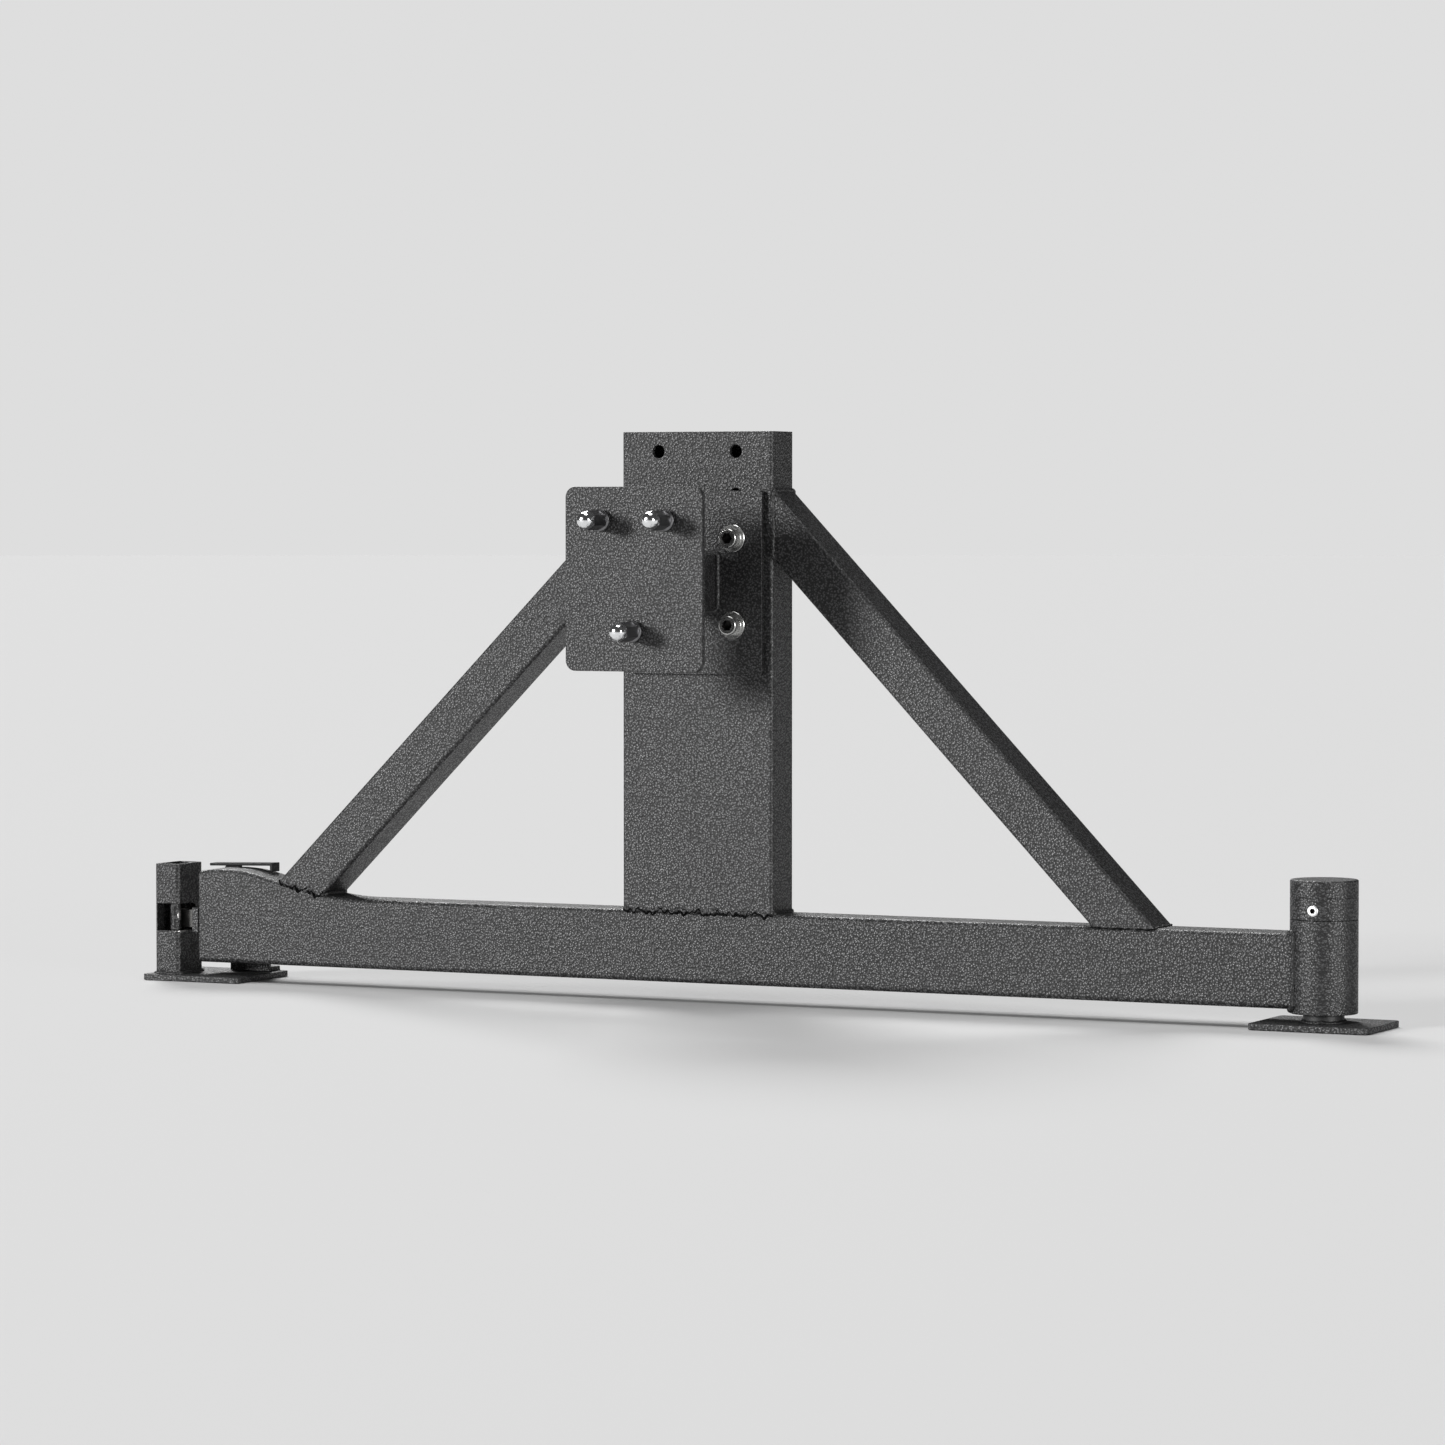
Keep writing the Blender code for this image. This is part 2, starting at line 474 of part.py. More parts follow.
crank = np.array([across * 4 * MM, across * -4 * MM, np.array(CRANK) - across * 4 * MM,
                  np.array(CRANK) + across * 4 * MM]) + (PIVOT_X, PIVOT_Z)
change(handle, "UNION", slab(crank, "y", -16.8 * MM, -11.8 * MM))
change(handle, "UNION", slab(tip, "y", -16.8 * MM, -11.8 * MM))
change(handle, "DIFFERENCE", rod("y", (PIVOT_X, PIVOT_Z), [(-30 * MM, 3.55 * MM), (30 * MM, 3.55 * MM)], 20))
smooth(handle)
smooth(node("handle_pin", *rod("y", (PIVOT_X, PIVOT_Z), [(-20.2 * MM, 3.25 * MM), (20.2 * MM, 3.25 * MM)], 20),
            STEEL, swing))

# Bolt: bevelled nose, taller middle that takes the crank and stops on the end plate, and a rod for the spring.
bolt = node("latch_bolt", *slab(np.array([(BOLT_TIP, BOLT_Y0), (BOLT_TIP, BOLT_Y0 + 3 * MM),
                                          (BOLT_TIP + 14 * MM, BOLT_Y1), (BOLT_SHOULDER, BOLT_Y1),
                                          (BOLT_SHOULDER, BOLT_Y0)]), "z", BOLT_LOW, BOLT_HIGH), ZINC, slide,
            (BOLT_SHOULDER, ROD_Y, ROD_Z))
change(bolt, "UNION", box(-1307.5 * MM, BOLT_SHOULDER, BOLT_Y0, BOLT_Y1, 53 * MM, 81 * MM))
change(bolt, "UNION", rod("x", (ROD_Y, ROD_Z), [(BOLT_SHOULDER - 4 * MM, ROD_RADIUS), (ROD_END - 1 * MM, ROD_RADIUS),
                                                (ROD_END, ROD_RADIUS - 1 * MM)], 20))
change(bolt, "DIFFERENCE", box(PIVOT_X, PIVOT_X + 15.8 * MM, -17.3 * MM, -11.3 * MM, 40 * MM, 90 * MM))
smooth(bolt)

turns, wire_steps, ring_steps = 7, 12, 6
angle = np.linspace(0, math.tau * turns, turns * wire_steps + 1)
reach = np.linspace(BOLT_SHOULDER + 1.3 * MM, SPRING_PLATE - 1.3 * MM, len(angle))
loops = []
for turn, x in zip(angle, reach):
    ring = circle(0.9 * MM, ring_steps)
    out = 4.85 * MM + ring[:, 0]
    loops.append(np.column_stack([x + ring[:, 1], ROD_Y + out * math.cos(turn), ROD_Z + out * math.sin(turn)]))
smooth(node("latch_spring", *loft(loops), STEEL, swing), 60)
plate = node("spring_plate", *slab(rounded(-BEAM_HALF + lip, BEAM_HALF - lip, BEAM_BOTTOM + lip,
                                           flare_top(SPRING_PLATE) - lip - 2 * MM, 1 * MM), "x",
                                   SPRING_PLATE, SPRING_PLATE + 4 * MM), COAT, swing)
change(plate, "DIFFERENCE", rod("x", (ROD_Y, ROD_Z), [(SPRING_PLATE - 5 * MM, 4 * MM),
                                                      (SPRING_PLATE + 9 * MM, 4 * MM)], 20))

# Catch: base plate, notched post, keeper pin across the notch, stop angle with its rubber pad.
node("catch_base", *slab(rounded(-1370 * MM, -1246 * MM, -52 * MM, 60 * MM, 6 * MM), "z", 0, PLATE_THICK), COAT)
catch = node("catch_post", *pipe(
    [placed(rounded(CATCH_X0, CATCH_X1, CATCH_Y0, CATCH_Y1, 5 * MM), "z", z)
     for z in (PLATE_THICK + GAP, CATCH_TOP)],
    [placed(rounded(CATCH_X0 + CATCH_WALL, CATCH_X1 - CATCH_WALL, CATCH_Y0 + CATCH_WALL, CATCH_Y1 - CATCH_WALL,
                    1.4 * MM), "z", z) for z in (PLATE_THICK + GAP, CATCH_TOP)]), COAT)
mouth = CATCH_X0 + CATCH_WALL
change(catch, "DIFFERENCE", box(mouth, CATCH_X1 + 9 * MM, CATCH_Y0 - 9 * MM, NOTCH_REAR, NOTCH_LOW, NOTCH_HIGH))
notch_mid, notch_round = (NOTCH_LOW + NOTCH_HIGH) / 2, (NOTCH_HIGH - NOTCH_LOW) / 2
change(catch, "DIFFERENCE", rod("x", (NOTCH_REAR, notch_mid), [(mouth, notch_round),
                                                              (CATCH_X1 + 9 * MM, notch_round)], 32))
smooth(catch)
smooth(node("keeper_pin", *rod("z", (KEEPER_X, KEEPER_Y), [(NOTCH_LOW + GAP, KEEPER_RADIUS),
                                                          (NOTCH_HIGH - GAP, KEEPER_RADIUS)], 24), ZINC))
node("stop_angle", *slab(polygon((31.4, 6.65), (56, 6.65), (56, 11.65), (36.4, 11.65), (36.4, 80), (31.4, 80)),
                         "x", -1306 * MM, -1256 * MM), COAT)
node("stop_pad", *box(-1303 * MM, -1259 * MM, 25.7 * MM, 31.1 * MM, 42 * MM, 78 * MM), RUBBER)
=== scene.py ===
import math

import bmesh
import bpy
import numpy as np
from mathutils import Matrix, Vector


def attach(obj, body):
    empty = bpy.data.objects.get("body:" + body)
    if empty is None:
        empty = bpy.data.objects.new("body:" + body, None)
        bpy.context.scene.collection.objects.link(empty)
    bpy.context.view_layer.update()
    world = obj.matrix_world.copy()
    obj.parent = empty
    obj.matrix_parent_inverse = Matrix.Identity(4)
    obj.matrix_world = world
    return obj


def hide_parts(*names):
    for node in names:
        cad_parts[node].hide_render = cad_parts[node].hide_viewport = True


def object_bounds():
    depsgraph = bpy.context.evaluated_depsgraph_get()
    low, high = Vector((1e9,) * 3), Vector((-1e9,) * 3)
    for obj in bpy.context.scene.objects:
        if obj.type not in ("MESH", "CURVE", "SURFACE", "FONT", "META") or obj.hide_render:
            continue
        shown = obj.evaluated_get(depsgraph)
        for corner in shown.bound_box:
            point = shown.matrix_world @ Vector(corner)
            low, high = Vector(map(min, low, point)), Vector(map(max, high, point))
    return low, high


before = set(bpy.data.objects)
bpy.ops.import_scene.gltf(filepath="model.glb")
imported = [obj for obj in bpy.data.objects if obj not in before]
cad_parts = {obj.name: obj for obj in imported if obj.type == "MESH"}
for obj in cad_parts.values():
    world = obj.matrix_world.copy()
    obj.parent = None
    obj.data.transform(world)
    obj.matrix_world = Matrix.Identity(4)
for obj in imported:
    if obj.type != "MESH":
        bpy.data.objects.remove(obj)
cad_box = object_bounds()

MM = 0.001
GAP = 0.3 * MM  # what the solids leave between pieces that touch
PEBBLES = 420.0  # the coat's pebbles per metre, so that they lie about 2.4 mm apart

# The stage. A wide pale floor lies under the two base plates. A soft light stands low in front on the left,
# one on the right only puts a gloss on what is round, one is overhead and one behind.
middle = (np.array(cad_box[0]) + np.array(cad_box[1])) / 2
FLOOR_RADIUS, LIGHT_DISTANCE = 60.0, 6.0
floor_mesh = bpy.data.meshes.new("floor")
floor_turn = np.arange(96) * math.tau / 96
floor_rim = np.column_stack([FLOOR_RADIUS * np.cos(floor_turn), FLOOR_RADIUS * np.sin(floor_turn),
                             np.full(96, -0.5 * MM)])
floor_mesh.from_pydata(floor_rim.tolist(), [], [list(range(96))])
floor = bpy.data.objects.new("floor", floor_mesh)
bpy.context.scene.collection.objects.link(floor)
floor_paint = bpy.data.materials.new("pale_floor")
floor_paint.use_nodes = True
floor_paint.node_tree.nodes["Principled BSDF"].inputs["Base Color"].default_value = (0.64, 0.64, 0.64, 1)
floor_paint.node_tree.nodes["Principled BSDF"].inputs["Roughness"].default_value = 0.9
floor_mesh.materials.append(floor_paint)

room = bpy.data.worlds.new("room")
room.use_nodes = True
bpy.context.scene.world = room
bpy.context.scene.view_settings.view_transform = "Standard"
wires = room.node_tree
pale, dim = wires.nodes["Background"], wires.nodes.new("ShaderNodeBackground")
pale.inputs["Color"].default_value = (0.73, 0.73, 0.73, 1)
pale.inputs["Strength"].default_value = 1.0
dim.inputs["Color"].default_value = (1, 1, 1, 1)
dim.inputs["Strength"].default_value = 0.055
seen, choice = wires.nodes.new("ShaderNodeLightPath"), wires.nodes.new("ShaderNodeMixShader")
wires.links.new(seen.outputs["Is Camera Ray"], choice.inputs[0])
wires.links.new(dim.outputs[0], choice.inputs[1])
wires.links.new(pale.outputs[0], choice.inputs[2])
wires.links.new(choice.outputs[0], wires.nodes["World Output"].inputs["Surface"])


def light(name, azimuth, height, strength, spread):
    """A distant light, `spread` degrees across, that shines from this azimuth (0 is straight in front,
    positive to the left) and height, both in degrees: away = (-sin a cos h, -cos a cos h, sin h)."""
    lamp = bpy.data.lights.new(name, "SUN")
    lamp.energy = strength
    lamp.angle = math.radians(spread)
    made = bpy.data.objects.new(name, lamp)
    turn, rise = math.radians(azimuth), math.radians(height)
    away = Vector((-math.sin(turn) * math.cos(rise), -math.cos(turn) * math.cos(rise), math.sin(rise)))
    made.location = Vector(middle) + away * LIGHT_DISTANCE
    made.rotation_euler = (-away).to_track_quat("-Z", "Y").to_euler()
    bpy.context.scene.collection.objects.link(made)
    return made


light("key", 38, 11, 2.5, 14)
light("second", -64, 8, 2.6, 16).visible_diffuse = False
light("overhead", 0, 88, 1.6, 30)
light("behind", 140, 40, 1.8, 24)

camera = bpy.data.objects.new("camera", bpy.data.cameras.new("camera"))
bpy.context.scene.collection.objects.link(camera)
camera.location = (1.806, -5.045, 0.519)
aim = (-0.6370, -0.0780, 0.3000)
camera.rotation_euler = (Vector(aim) - camera.location).to_track_quat("-Z", "Y").to_euler()
camera.data.lens = 132
bpy.context.scene.camera = camera


# The hinge's base plate: quarter-inch steel cut to a rounded rectangle and welded to the bumper, and coated
# with the same textured black powder as the rest of the welded steel.
class Signal:
    """A shader socket that joins in Python arithmetic: each operation adds its Math node."""

    def __init__(self, tree, socket):
        self.tree = tree
        self.socket = socket

    def joined(self, operation, other, flipped=False):
        math_node = self.tree.nodes.new("ShaderNodeMath")
        math_node.operation = operation
        for slot, value in zip(math_node.inputs, (other, self) if flipped else (self, other)):
            if isinstance(value, Signal):
                self.tree.links.new(value.socket, slot)
            else:
                slot.default_value = value
        return Signal(self.tree, math_node.outputs[0])

    def __add__(self, other):
        return self.joined("ADD", other)

    def __radd__(self, other):
        return self.joined("ADD", other, True)

    def __sub__(self, other):
        return self.joined("SUBTRACT", other)

    def __rsub__(self, other):
        return self.joined("SUBTRACT", other, True)

    def __mul__(self, other):
        return self.joined("MULTIPLY", other)

    def __rmul__(self, other):
        return self.joined("MULTIPLY", other, True)

    def held(self):
        """The signal kept between 0 and 1."""
        return self.joined("MAXIMUM", 0.0).joined("MINIMUM", 1.0)


class Finish:
    """A new material, its shader, and one method that makes any other node."""

    def __init__(self, name):
        self.material = bpy.data.materials.new(name)
        self.material.use_nodes = True
        self.tree = self.material.node_tree
        self.shader = self.tree.nodes["Principled BSDF"]

    def node(self, kind, settings, values, output=0):
        made = self.tree.nodes.new(kind)
        for key, value in settings.items():
            setattr(made, key, value)
        self.feed(made, values)
        return Signal(self.tree, made.outputs[output])

    def feed(self, made, values):
        for key, value in values.items():
            if isinstance(value, Signal):
                self.tree.links.new(value.socket, made.inputs[key])
            else:
                made.inputs[key].default_value = value

    def blend(self, mask, first, second):
        """A colour that goes from first to second as mask goes from 0 to 1."""
        return self.node("ShaderNodeMix", {"data_type": "RGBA"}, {0: mask, 6: first, 7: second}, 2)


def powder_coat(name, valley, crest, rough, relief=1.0, gloss=0.5):
    """Textured powder coat: height = 1 - 1.3 (distance from the nearest of many pebbles, 2.4 mm apart) +
    0.35 fine noise. Its colour is painted paler on its pebbles' tops, a painted highlight, and darker
    between them, painted shade; the tops are glossier too, and slow clouds of dust change its tone."""
    look = Finish(name)
    place = look.node("ShaderNodeTexCoord", {}, {}, "Object")
    pebble = look.node("ShaderNodeTexVoronoi", {"feature": "F1"}, {"Vector": place, "Scale": PEBBLES},
                       "Distance")
    fine = look.node("ShaderNodeTexNoise", {},
                     {"Vector": place, "Scale": 900.0, "Detail": 1.5, "Roughness": 0.6})
    clouds = look.node("ShaderNodeTexNoise", {}, {"Vector": place, "Scale": 9.0, "Detail": 4.0,
                                                  "Roughness": 0.62})
    height = 1 - 1.3 * pebble + 0.35 * fine
    # high is 1 on the pebbles' tops: the colour there is a painted highlight, and in the valleys painted
    # shade.
    high = ((height - 0.60) * 4.2 + 0.40).held()
    dusty = ((clouds - 0.5) * 2.4 + 0.5).held()
    tone = look.blend(dusty * 0.10, look.blend(high, valley, crest), (0.085, 0.085, 0.088, 1))
    normal = look.node("ShaderNodeBump", {},
                       {"Strength": 1.0, "Distance": 0.45 * MM * relief, "Height": height})
    look.feed(look.shader, {"Base Color": tone, "Roughness": rough - 0.20 * high + 0.05 * dusty,
                            "Specular IOR Level": gloss, "Normal": normal})
    return look.material


COATED = powder_coat("textured_black_powder_coat", (0.0015, 0.0015, 0.0016, 1), (0.083, 0.083, 0.085, 1),
                     0.49)


def skin(rings, wrapped=False):
    """Points and faces of a surface through an array (rings, points round, 3). Neighbouring rings are
    joined by quads; the last ring joins the first if wrapped, and else each end is closed by one face."""
    count, around = rings.shape[:2]
    index = np.arange(count * around).reshape(count, around)
    joined = np.vstack([index, index[:1]]) if wrapped else index
    near, far = joined[:-1], joined[1:]
    quads = np.stack([near, np.roll(near, -1, 1), np.roll(far, -1, 1), far], -1).reshape(-1, 4).tolist()
    ends = [] if wrapped else [index[0].tolist(), index[-1].tolist()]
    return rings.reshape(-1, 3), quads + ends


def solid(name, shape, look, body, stands_for=(), steps=(), sharp=32):
    """A piece from points and faces. steps are further shapes joined to it or cut from it, in order, each
    of which may leave its own finish on the faces it makes. Faces are turned outwards, edges over `sharp`
    degrees stay crisp, and normals lean to the larger face beside them."""

    def raw(label, points, faces, finish=look):
        mesh = bpy.data.meshes.new(label)
        mesh.from_pydata(np.asarray(points).tolist(), [], faces)
        working = bmesh.new()
        working.from_mesh(mesh)
        bmesh.ops.remove_doubles(working, verts=working.verts, dist=1e-7)
        bmesh.ops.recalc_face_normals(working, faces=working.faces)
        working.to_mesh(mesh)
        working.free()
        mesh.materials.append(finish)
        made = bpy.data.objects.new(label, mesh)
        bpy.context.scene.collection.objects.link(made)
        return made

    made = raw(name, *shape)
    helpers = []
    for operation, other, *finish in steps:
        helper = raw(f"{name}_{len(helpers)}", *other, *finish)
        helpers.append(helper)
        change = made.modifiers.new("change", "BOOLEAN")
        change.operation = operation
        change.solver = "EXACT"
        change.material_mode = "TRANSFER"
        change.object = helper
    if steps:
        graph = bpy.context.evaluated_depsgraph_get()
        whole = bpy.data.meshes.new_from_object(made.evaluated_get(graph))
        made.modifiers.clear()
        made.data = whole
        for helper in helpers:
            bpy.data.objects.remove(helper)
    made.data.shade_smooth()
    made.data.set_sharp_from_angle(angle=math.radians(sharp))
    flats = made.modifiers.new("flats", "WEIGHTED_NORMAL")
    flats.keep_sharp = True
    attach(made, body)
    if stands_for:
        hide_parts(*stands_for)
    return made


def round_corners(half_u, half_v, radius, steps=8):
    """Outline of a rectangle: quarter circles of `radius` at its four corners, joined by straight sides."""
    turn = np.radians(np.linspace(0, 90, steps))[None, :] + np.radians([0, 90, 180, 270])[:, None]
    centre = np.array([(1, 1), (-1, 1), (-1, -1), (1, -1)]) * (half_u - radius, half_v - radius)
    return (centre[:, None] + radius * np.stack([np.cos(turn), np.sin(turn)], -1)).reshape(-1, 2)


def inset(outline, distance):
    """A closed outline moved inwards: each point goes back along the mean normal of its two sides, by the
    distance over the cosine of half their turn."""
    after = np.roll(outline, -1, 0) - outline
    after = np.column_stack([after[:, 1], -after[:, 0]]) / np.linalg.norm(after, axis=1)[:, None]
    mean = after + np.roll(after, 1, 0)
    mean /= np.linalg.norm(mean, axis=1)[:, None]
    return outline - mean * (distance / (mean * after).sum(1))[:, None]


def eased(edge, steps=4):
    """Rows (inset, depth) over a quarter-round edge: inset = edge (1 - sin a), depth = edge (1 - cos a)."""
    turn = np.radians(np.linspace(0, 90, steps))
    return np.column_stack([edge * (1 - np.sin(turn)), edge * (1 - np.cos(turn))])


def plate_rings(outline, start, end, edge=0.5 * MM):
    """Rings (outline, height) of a plate from start to end with both its edges eased."""
    way = math.copysign(1, end - start)
    near = [(inset(outline, back), start + way * depth) for back, depth in eased(edge)]
    return near + [(inset(outline, back), end - way * depth) for back, depth in eased(edge)[::-1]]


def stood(rings, axis, centre=(0.0, 0.0)):
    """Rings (outline, height) as points, with the height along the axis and the outline about the
    centre."""
    u, v, w = {"x": (1, 2, 0), "y": (0, 2, 1), "z": (0, 1, 2)}[axis]
    out = np.empty((len(rings), len(rings[0][0]), 3))
    for row, (outline, height) in zip(out, rings):
        row[:, u] = outline[:, 0] + centre[0]
        row[:, v] = outline[:, 1] + centre[1]
        row[:, w] = height
    return out


def slab(outline, start, end, axis, centre=(0.0, 0.0), edge=0.5 * MM):
    """A plate of this outline from start to end along the axis, with both its edges eased by `edge`."""
    return skin(stood(plate_rings(outline, start, end, edge), axis, centre))


PLATE = 6.35 * MM  # a quarter inch
solid("hinge_base_plate", slab(round_corners(64 * MM, 50 * MM, 6 * MM), 0, PLATE, "z", edge=0.7 * MM),
      COATED, "vehicle_side", ["spindle_base"])


# The weld that holds the spindle to its plate: a bead laid round the shoulder's foot and coated with the
# rest. All the carrier's weld beads are made in the same way.
def bead(path, facing, radius, seed, loop=True, wander=0.35 * MM):
    """A weld bead: a tube round the path, resampled every 0.7 mm. Its radius swells every 3.4 mm, with
    crests bowed back round the tube: r = radius (0.93 + 0.09 |cos(pi (s / 3.4 mm + 0.3 cos a))| + slow
    drift), and its line wanders along `facing` and across it with sums of sines."""
    path = np.vstack([path, path[:1]]) if loop else np.asarray(path, float)
    run = np.concatenate([[0], np.cumsum(np.linalg.norm(np.diff(path, axis=0), axis=1))])
    whole = run[-1]
    count = max(12, int(whole / (0.7 * MM)))
    s = np.linspace(0, whole, count, endpoint=not loop)
    line = np.column_stack([np.interp(s, run, path[:, i]) for i in range(3)])
    along = np.roll(line, -1, 0) - np.roll(line, 1, 0)
    if not loop:
        along[0], along[-1] = line[1] - line[0], line[-1] - line[-2]
    along /= np.linalg.norm(along, axis=1)[:, None]
    up = np.asarray(facing, float) - (along @ np.asarray(facing, float))[:, None] * along
    up /= np.linalg.norm(up, axis=1)[:, None]
    side = np.cross(along, up)
    chance = np.random.default_rng(seed)
    drift = np.zeros((3, count))
    for length in (37 * MM, 21 * MM, 12 * MM, 7.5 * MM):
        waves = max(1, round(whole / length))
        drift += np.sin(math.tau * waves * s / whole + chance.uniform(0, math.tau, (3, 1)))
    line = line + wander * (0.6 * drift[0][:, None] * up + 0.12 * drift[1][:, None] * side)
    turn = np.arange(14) * math.tau / 14
    crests = max(1, round(whole / (3.4 * MM)))
    swell = np.abs(np.cos(math.pi * (crests * s[:, None] / whole + 0.3 * np.cos(turn)[None, :])))
    size = radius * (0.93 + 0.09 * swell + 0.05 * drift[2][:, None])
    if not loop:
        size *= np.sqrt(np.clip(np.minimum(s, whole - s) / radius, 0.02, 1))[:, None]
    tube = (line[:, None] + size[..., None] * (np.cos(turn)[None, :, None] * up[:, None]
                                              + np.sin(turn)[None, :, None] * side[:, None]))
    return skin(tube, wrapped=loop)


WELD = powder_coat("powder_coat_on_weld", (0.004, 0.004, 0.0042, 1), (0.030, 0.030, 0.031, 1), 0.55, 0.7)


def weld(name, path, facing, radius, seed, body="swing_arm", look=WELD, **more):
    return solid(name, bead(path, facing, radius, seed, **more), look, body, sharp=70)


def ring(radius, count):
    turn = np.arange(count) * math.tau / count
    return radius * np.column_stack([np.cos(turn), np.sin(turn)])


def stood_ring(radius, height, count=96):
    return np.column_stack([ring(radius, count), np.full(count, height)])


weld("spindle_weld", stood_ring(21.2 * MM, 6.6 * MM), (0, 0, 1), 2.3 * MM, 3, "vehicle_side")


# The spindle: a steel bar turned down in steps, with a painted shoulder at the foot, a ground seat for the
# bearings, and a threaded end with a cross hole for the cotter pin. It is welded to the base plate.
def turned(profile, axis="z", centre=(0.0, 0.0), count=64):
    """A turned piece from rows (radius, height), closed by a face at each end."""
    return skin(stood([(ring(radius, count), height) for radius, height in profile], axis, centre))


def hollow(profile, axis="z", centre=(0.0, 0.0), count=64):
    """A turned ring from a closed profile of rows (radius, height)."""
    return skin(stood([(ring(radius, count), height) for radius, height in profile], axis, centre),
                wrapped=True)


def thread(radius, start, end, pitch, depth, axis, centre, count=40):
    """Rings of a screw thread: r = radius - depth |2 frac(height / pitch - turn / tau) - 1|, easing out at
    its ends so that it starts and stops in a plain shank."""
    height = np.linspace(start, end, max(8, int(abs(end - start) / pitch * 8)))
    turn = np.arange(count) / count
    wave = np.abs(2 * ((height[:, None] / pitch - turn[None, :]) % 1) - 1)
    ease = np.clip(np.minimum(abs(height - start), abs(height - end)) / pitch, 0, 1)[:, None]
    size = radius - depth * wave * ease
    return [(ring(1, count) * row[:, None], at) for row, at in zip(size, height)]


def metal(name, colour, rough, tone=0.12, relief=0.05):
    """Bare or plated metal: fine noise shades the colour by `tone`, varies the gloss and gives faint tool
    marks `relief` mm deep; small darker stains lie over it: shade = 0.6 marks + 0.5 stains, from colour to
    darker."""
    look = Finish(name)
    place = look.node("ShaderNodeTexCoord", {}, {}, "Object")
    stretched = look.node("ShaderNodeMapping", {}, {"Vector": place, "Scale": (60, 60, 60)})
    marks = look.node("ShaderNodeTexNoise", {}, {"Vector": stretched, "Scale": 8.0, "Detail": 4.0,
                                                 "Roughness": 0.65})
    stains = look.node("ShaderNodeTexNoise", {}, {"Vector": place, "Scale": 90.0, "Detail": 3.0,
                                                  "Roughness": 0.6})
    worn = ((stains - 0.52) * 5).held()
    darker = tuple(part * (1 - 3 * tone) for part in colour) + (1,)
    shade = look.blend((0.6 * marks + 0.5 * worn).held(), colour + (1,), darker)
    normal = look.node("ShaderNodeBump", {}, {"Strength": 0.5, "Distance": relief * MM, "Height": marks})
    look.feed(look.shader, {"Base Color": shade, "Metallic": 1.0, "Normal": normal,
                            "Roughness": (rough * 0.75 + 0.5 * rough * marks + 0.18 * worn)})
    return look.material


STEEL = metal("oiled_bare_steel", (0.44, 0.43, 0.42), 0.34)

SPINDLE = Finish("spindle_painted_below")
spindle_place = SPINDLE.node("ShaderNodeTexCoord", {}, {}, "Object")
spindle_height = SPINDLE.node("ShaderNodeSeparateXYZ", {}, {"Vector": spindle_place}, 2)
painted = ((0.0152 - spindle_height) * 4000).held()
spindle_grain = SPINDLE.node("ShaderNodeTexNoise", {},
                             {"Vector": spindle_place, "Scale": 420.0, "Detail": 3.0})
SPINDLE.feed(SPINDLE.shader, {
    "Base Color": SPINDLE.blend(painted, (0.46, 0.45, 0.44, 1), (0.03, 0.03, 0.031, 1)),
    "Metallic": 1 - painted,
    "Roughness": 0.28 + 0.2 * painted + 0.1 * spindle_grain,
    "Normal": SPINDLE.node("ShaderNodeBump", {}, {"Strength": 0.5, "Distance": 0.3 * MM,
                                                  "Height": spindle_grain})})
spindle_rings = [(ring(radius * MM, 40), at * MM)
                 for radius, at in ((20.0, 6.65), (20.8, 7.4), (20.8, 14.2), (20.2, 14.9), (19.6, 15.0),
                                    (17.2, 15.01), (17, 15.3), (17, 22.8), (16.7, 23.0), (13.4, 23.01),
                                    (13.2, 23.3), (13.2, 102.6))]
spindle_rings += thread(12 * MM, 103.2 * MM, 123.5 * MM, 2 * MM, 1.1 * MM, "z", (0, 0))
spindle_rings += [(ring(10.6 * MM, 40), 125 * MM)]
solid("spindle_turned", skin(stood(spindle_rings, "z")), SPINDLE.material, "vehicle_side", ["spindle"],
      [("DIFFERENCE", turned([(2 * MM, -20 * MM), (2 * MM, 20 * MM)], "x", (0, 116.5 * MM), 32))])

# The tapered roller bearings, thrust washer, castle nut and cotter pin on the spindle, and the grease seal:
# bought parts of hardened steel, plated steel and rubber, closed in by the barrel and its cap.
ZINC = metal("bright_zinc_plate", (0.66, 0.66, 0.65), 0.24, 0.10)
RUBBER = Finish("black_rubber")
rubber_place = RUBBER.node("ShaderNodeTexCoord", {}, {}, "Object")
rubber_grain = RUBBER.node("ShaderNodeTexNoise", {},
                           {"Vector": rubber_place, "Scale": 700.0, "Detail": 3.0})
rubber_bloom = RUBBER.node("ShaderNodeTexNoise", {}, {"Vector": rubber_place, "Scale": 40.0, "Detail": 3.0})
RUBBER.feed(RUBBER.shader, {"Base Color": RUBBER.blend(rubber_bloom, (0.012, 0.012, 0.012, 1),
                                                       (0.045, 0.044, 0.043, 1)),
                            "Roughness": 0.62 + 0.25 * rubber_bloom,
                            "Normal": RUBBER.node("ShaderNodeBump", {},
                                                  {"Strength": 0.5, "Distance": 0.2 * MM,
                                                   "Height": rubber_grain})})
for name, look in {"lower_bearing_cone": STEEL, "upper_bearing_cone": STEEL, "lower_bearing_rollers": STEEL,
                   "upper_bearing_rollers": STEEL, "lower_bearing_cup": STEEL, "upper_bearing_cup": STEEL,
                   "thrust_washer": STEEL, "castle_nut": ZINC, "cotter_pin": ZINC,
                   "grease_seal": RUBBER.material}.items():
    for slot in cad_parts[name].material_slots:
        slot.material = look

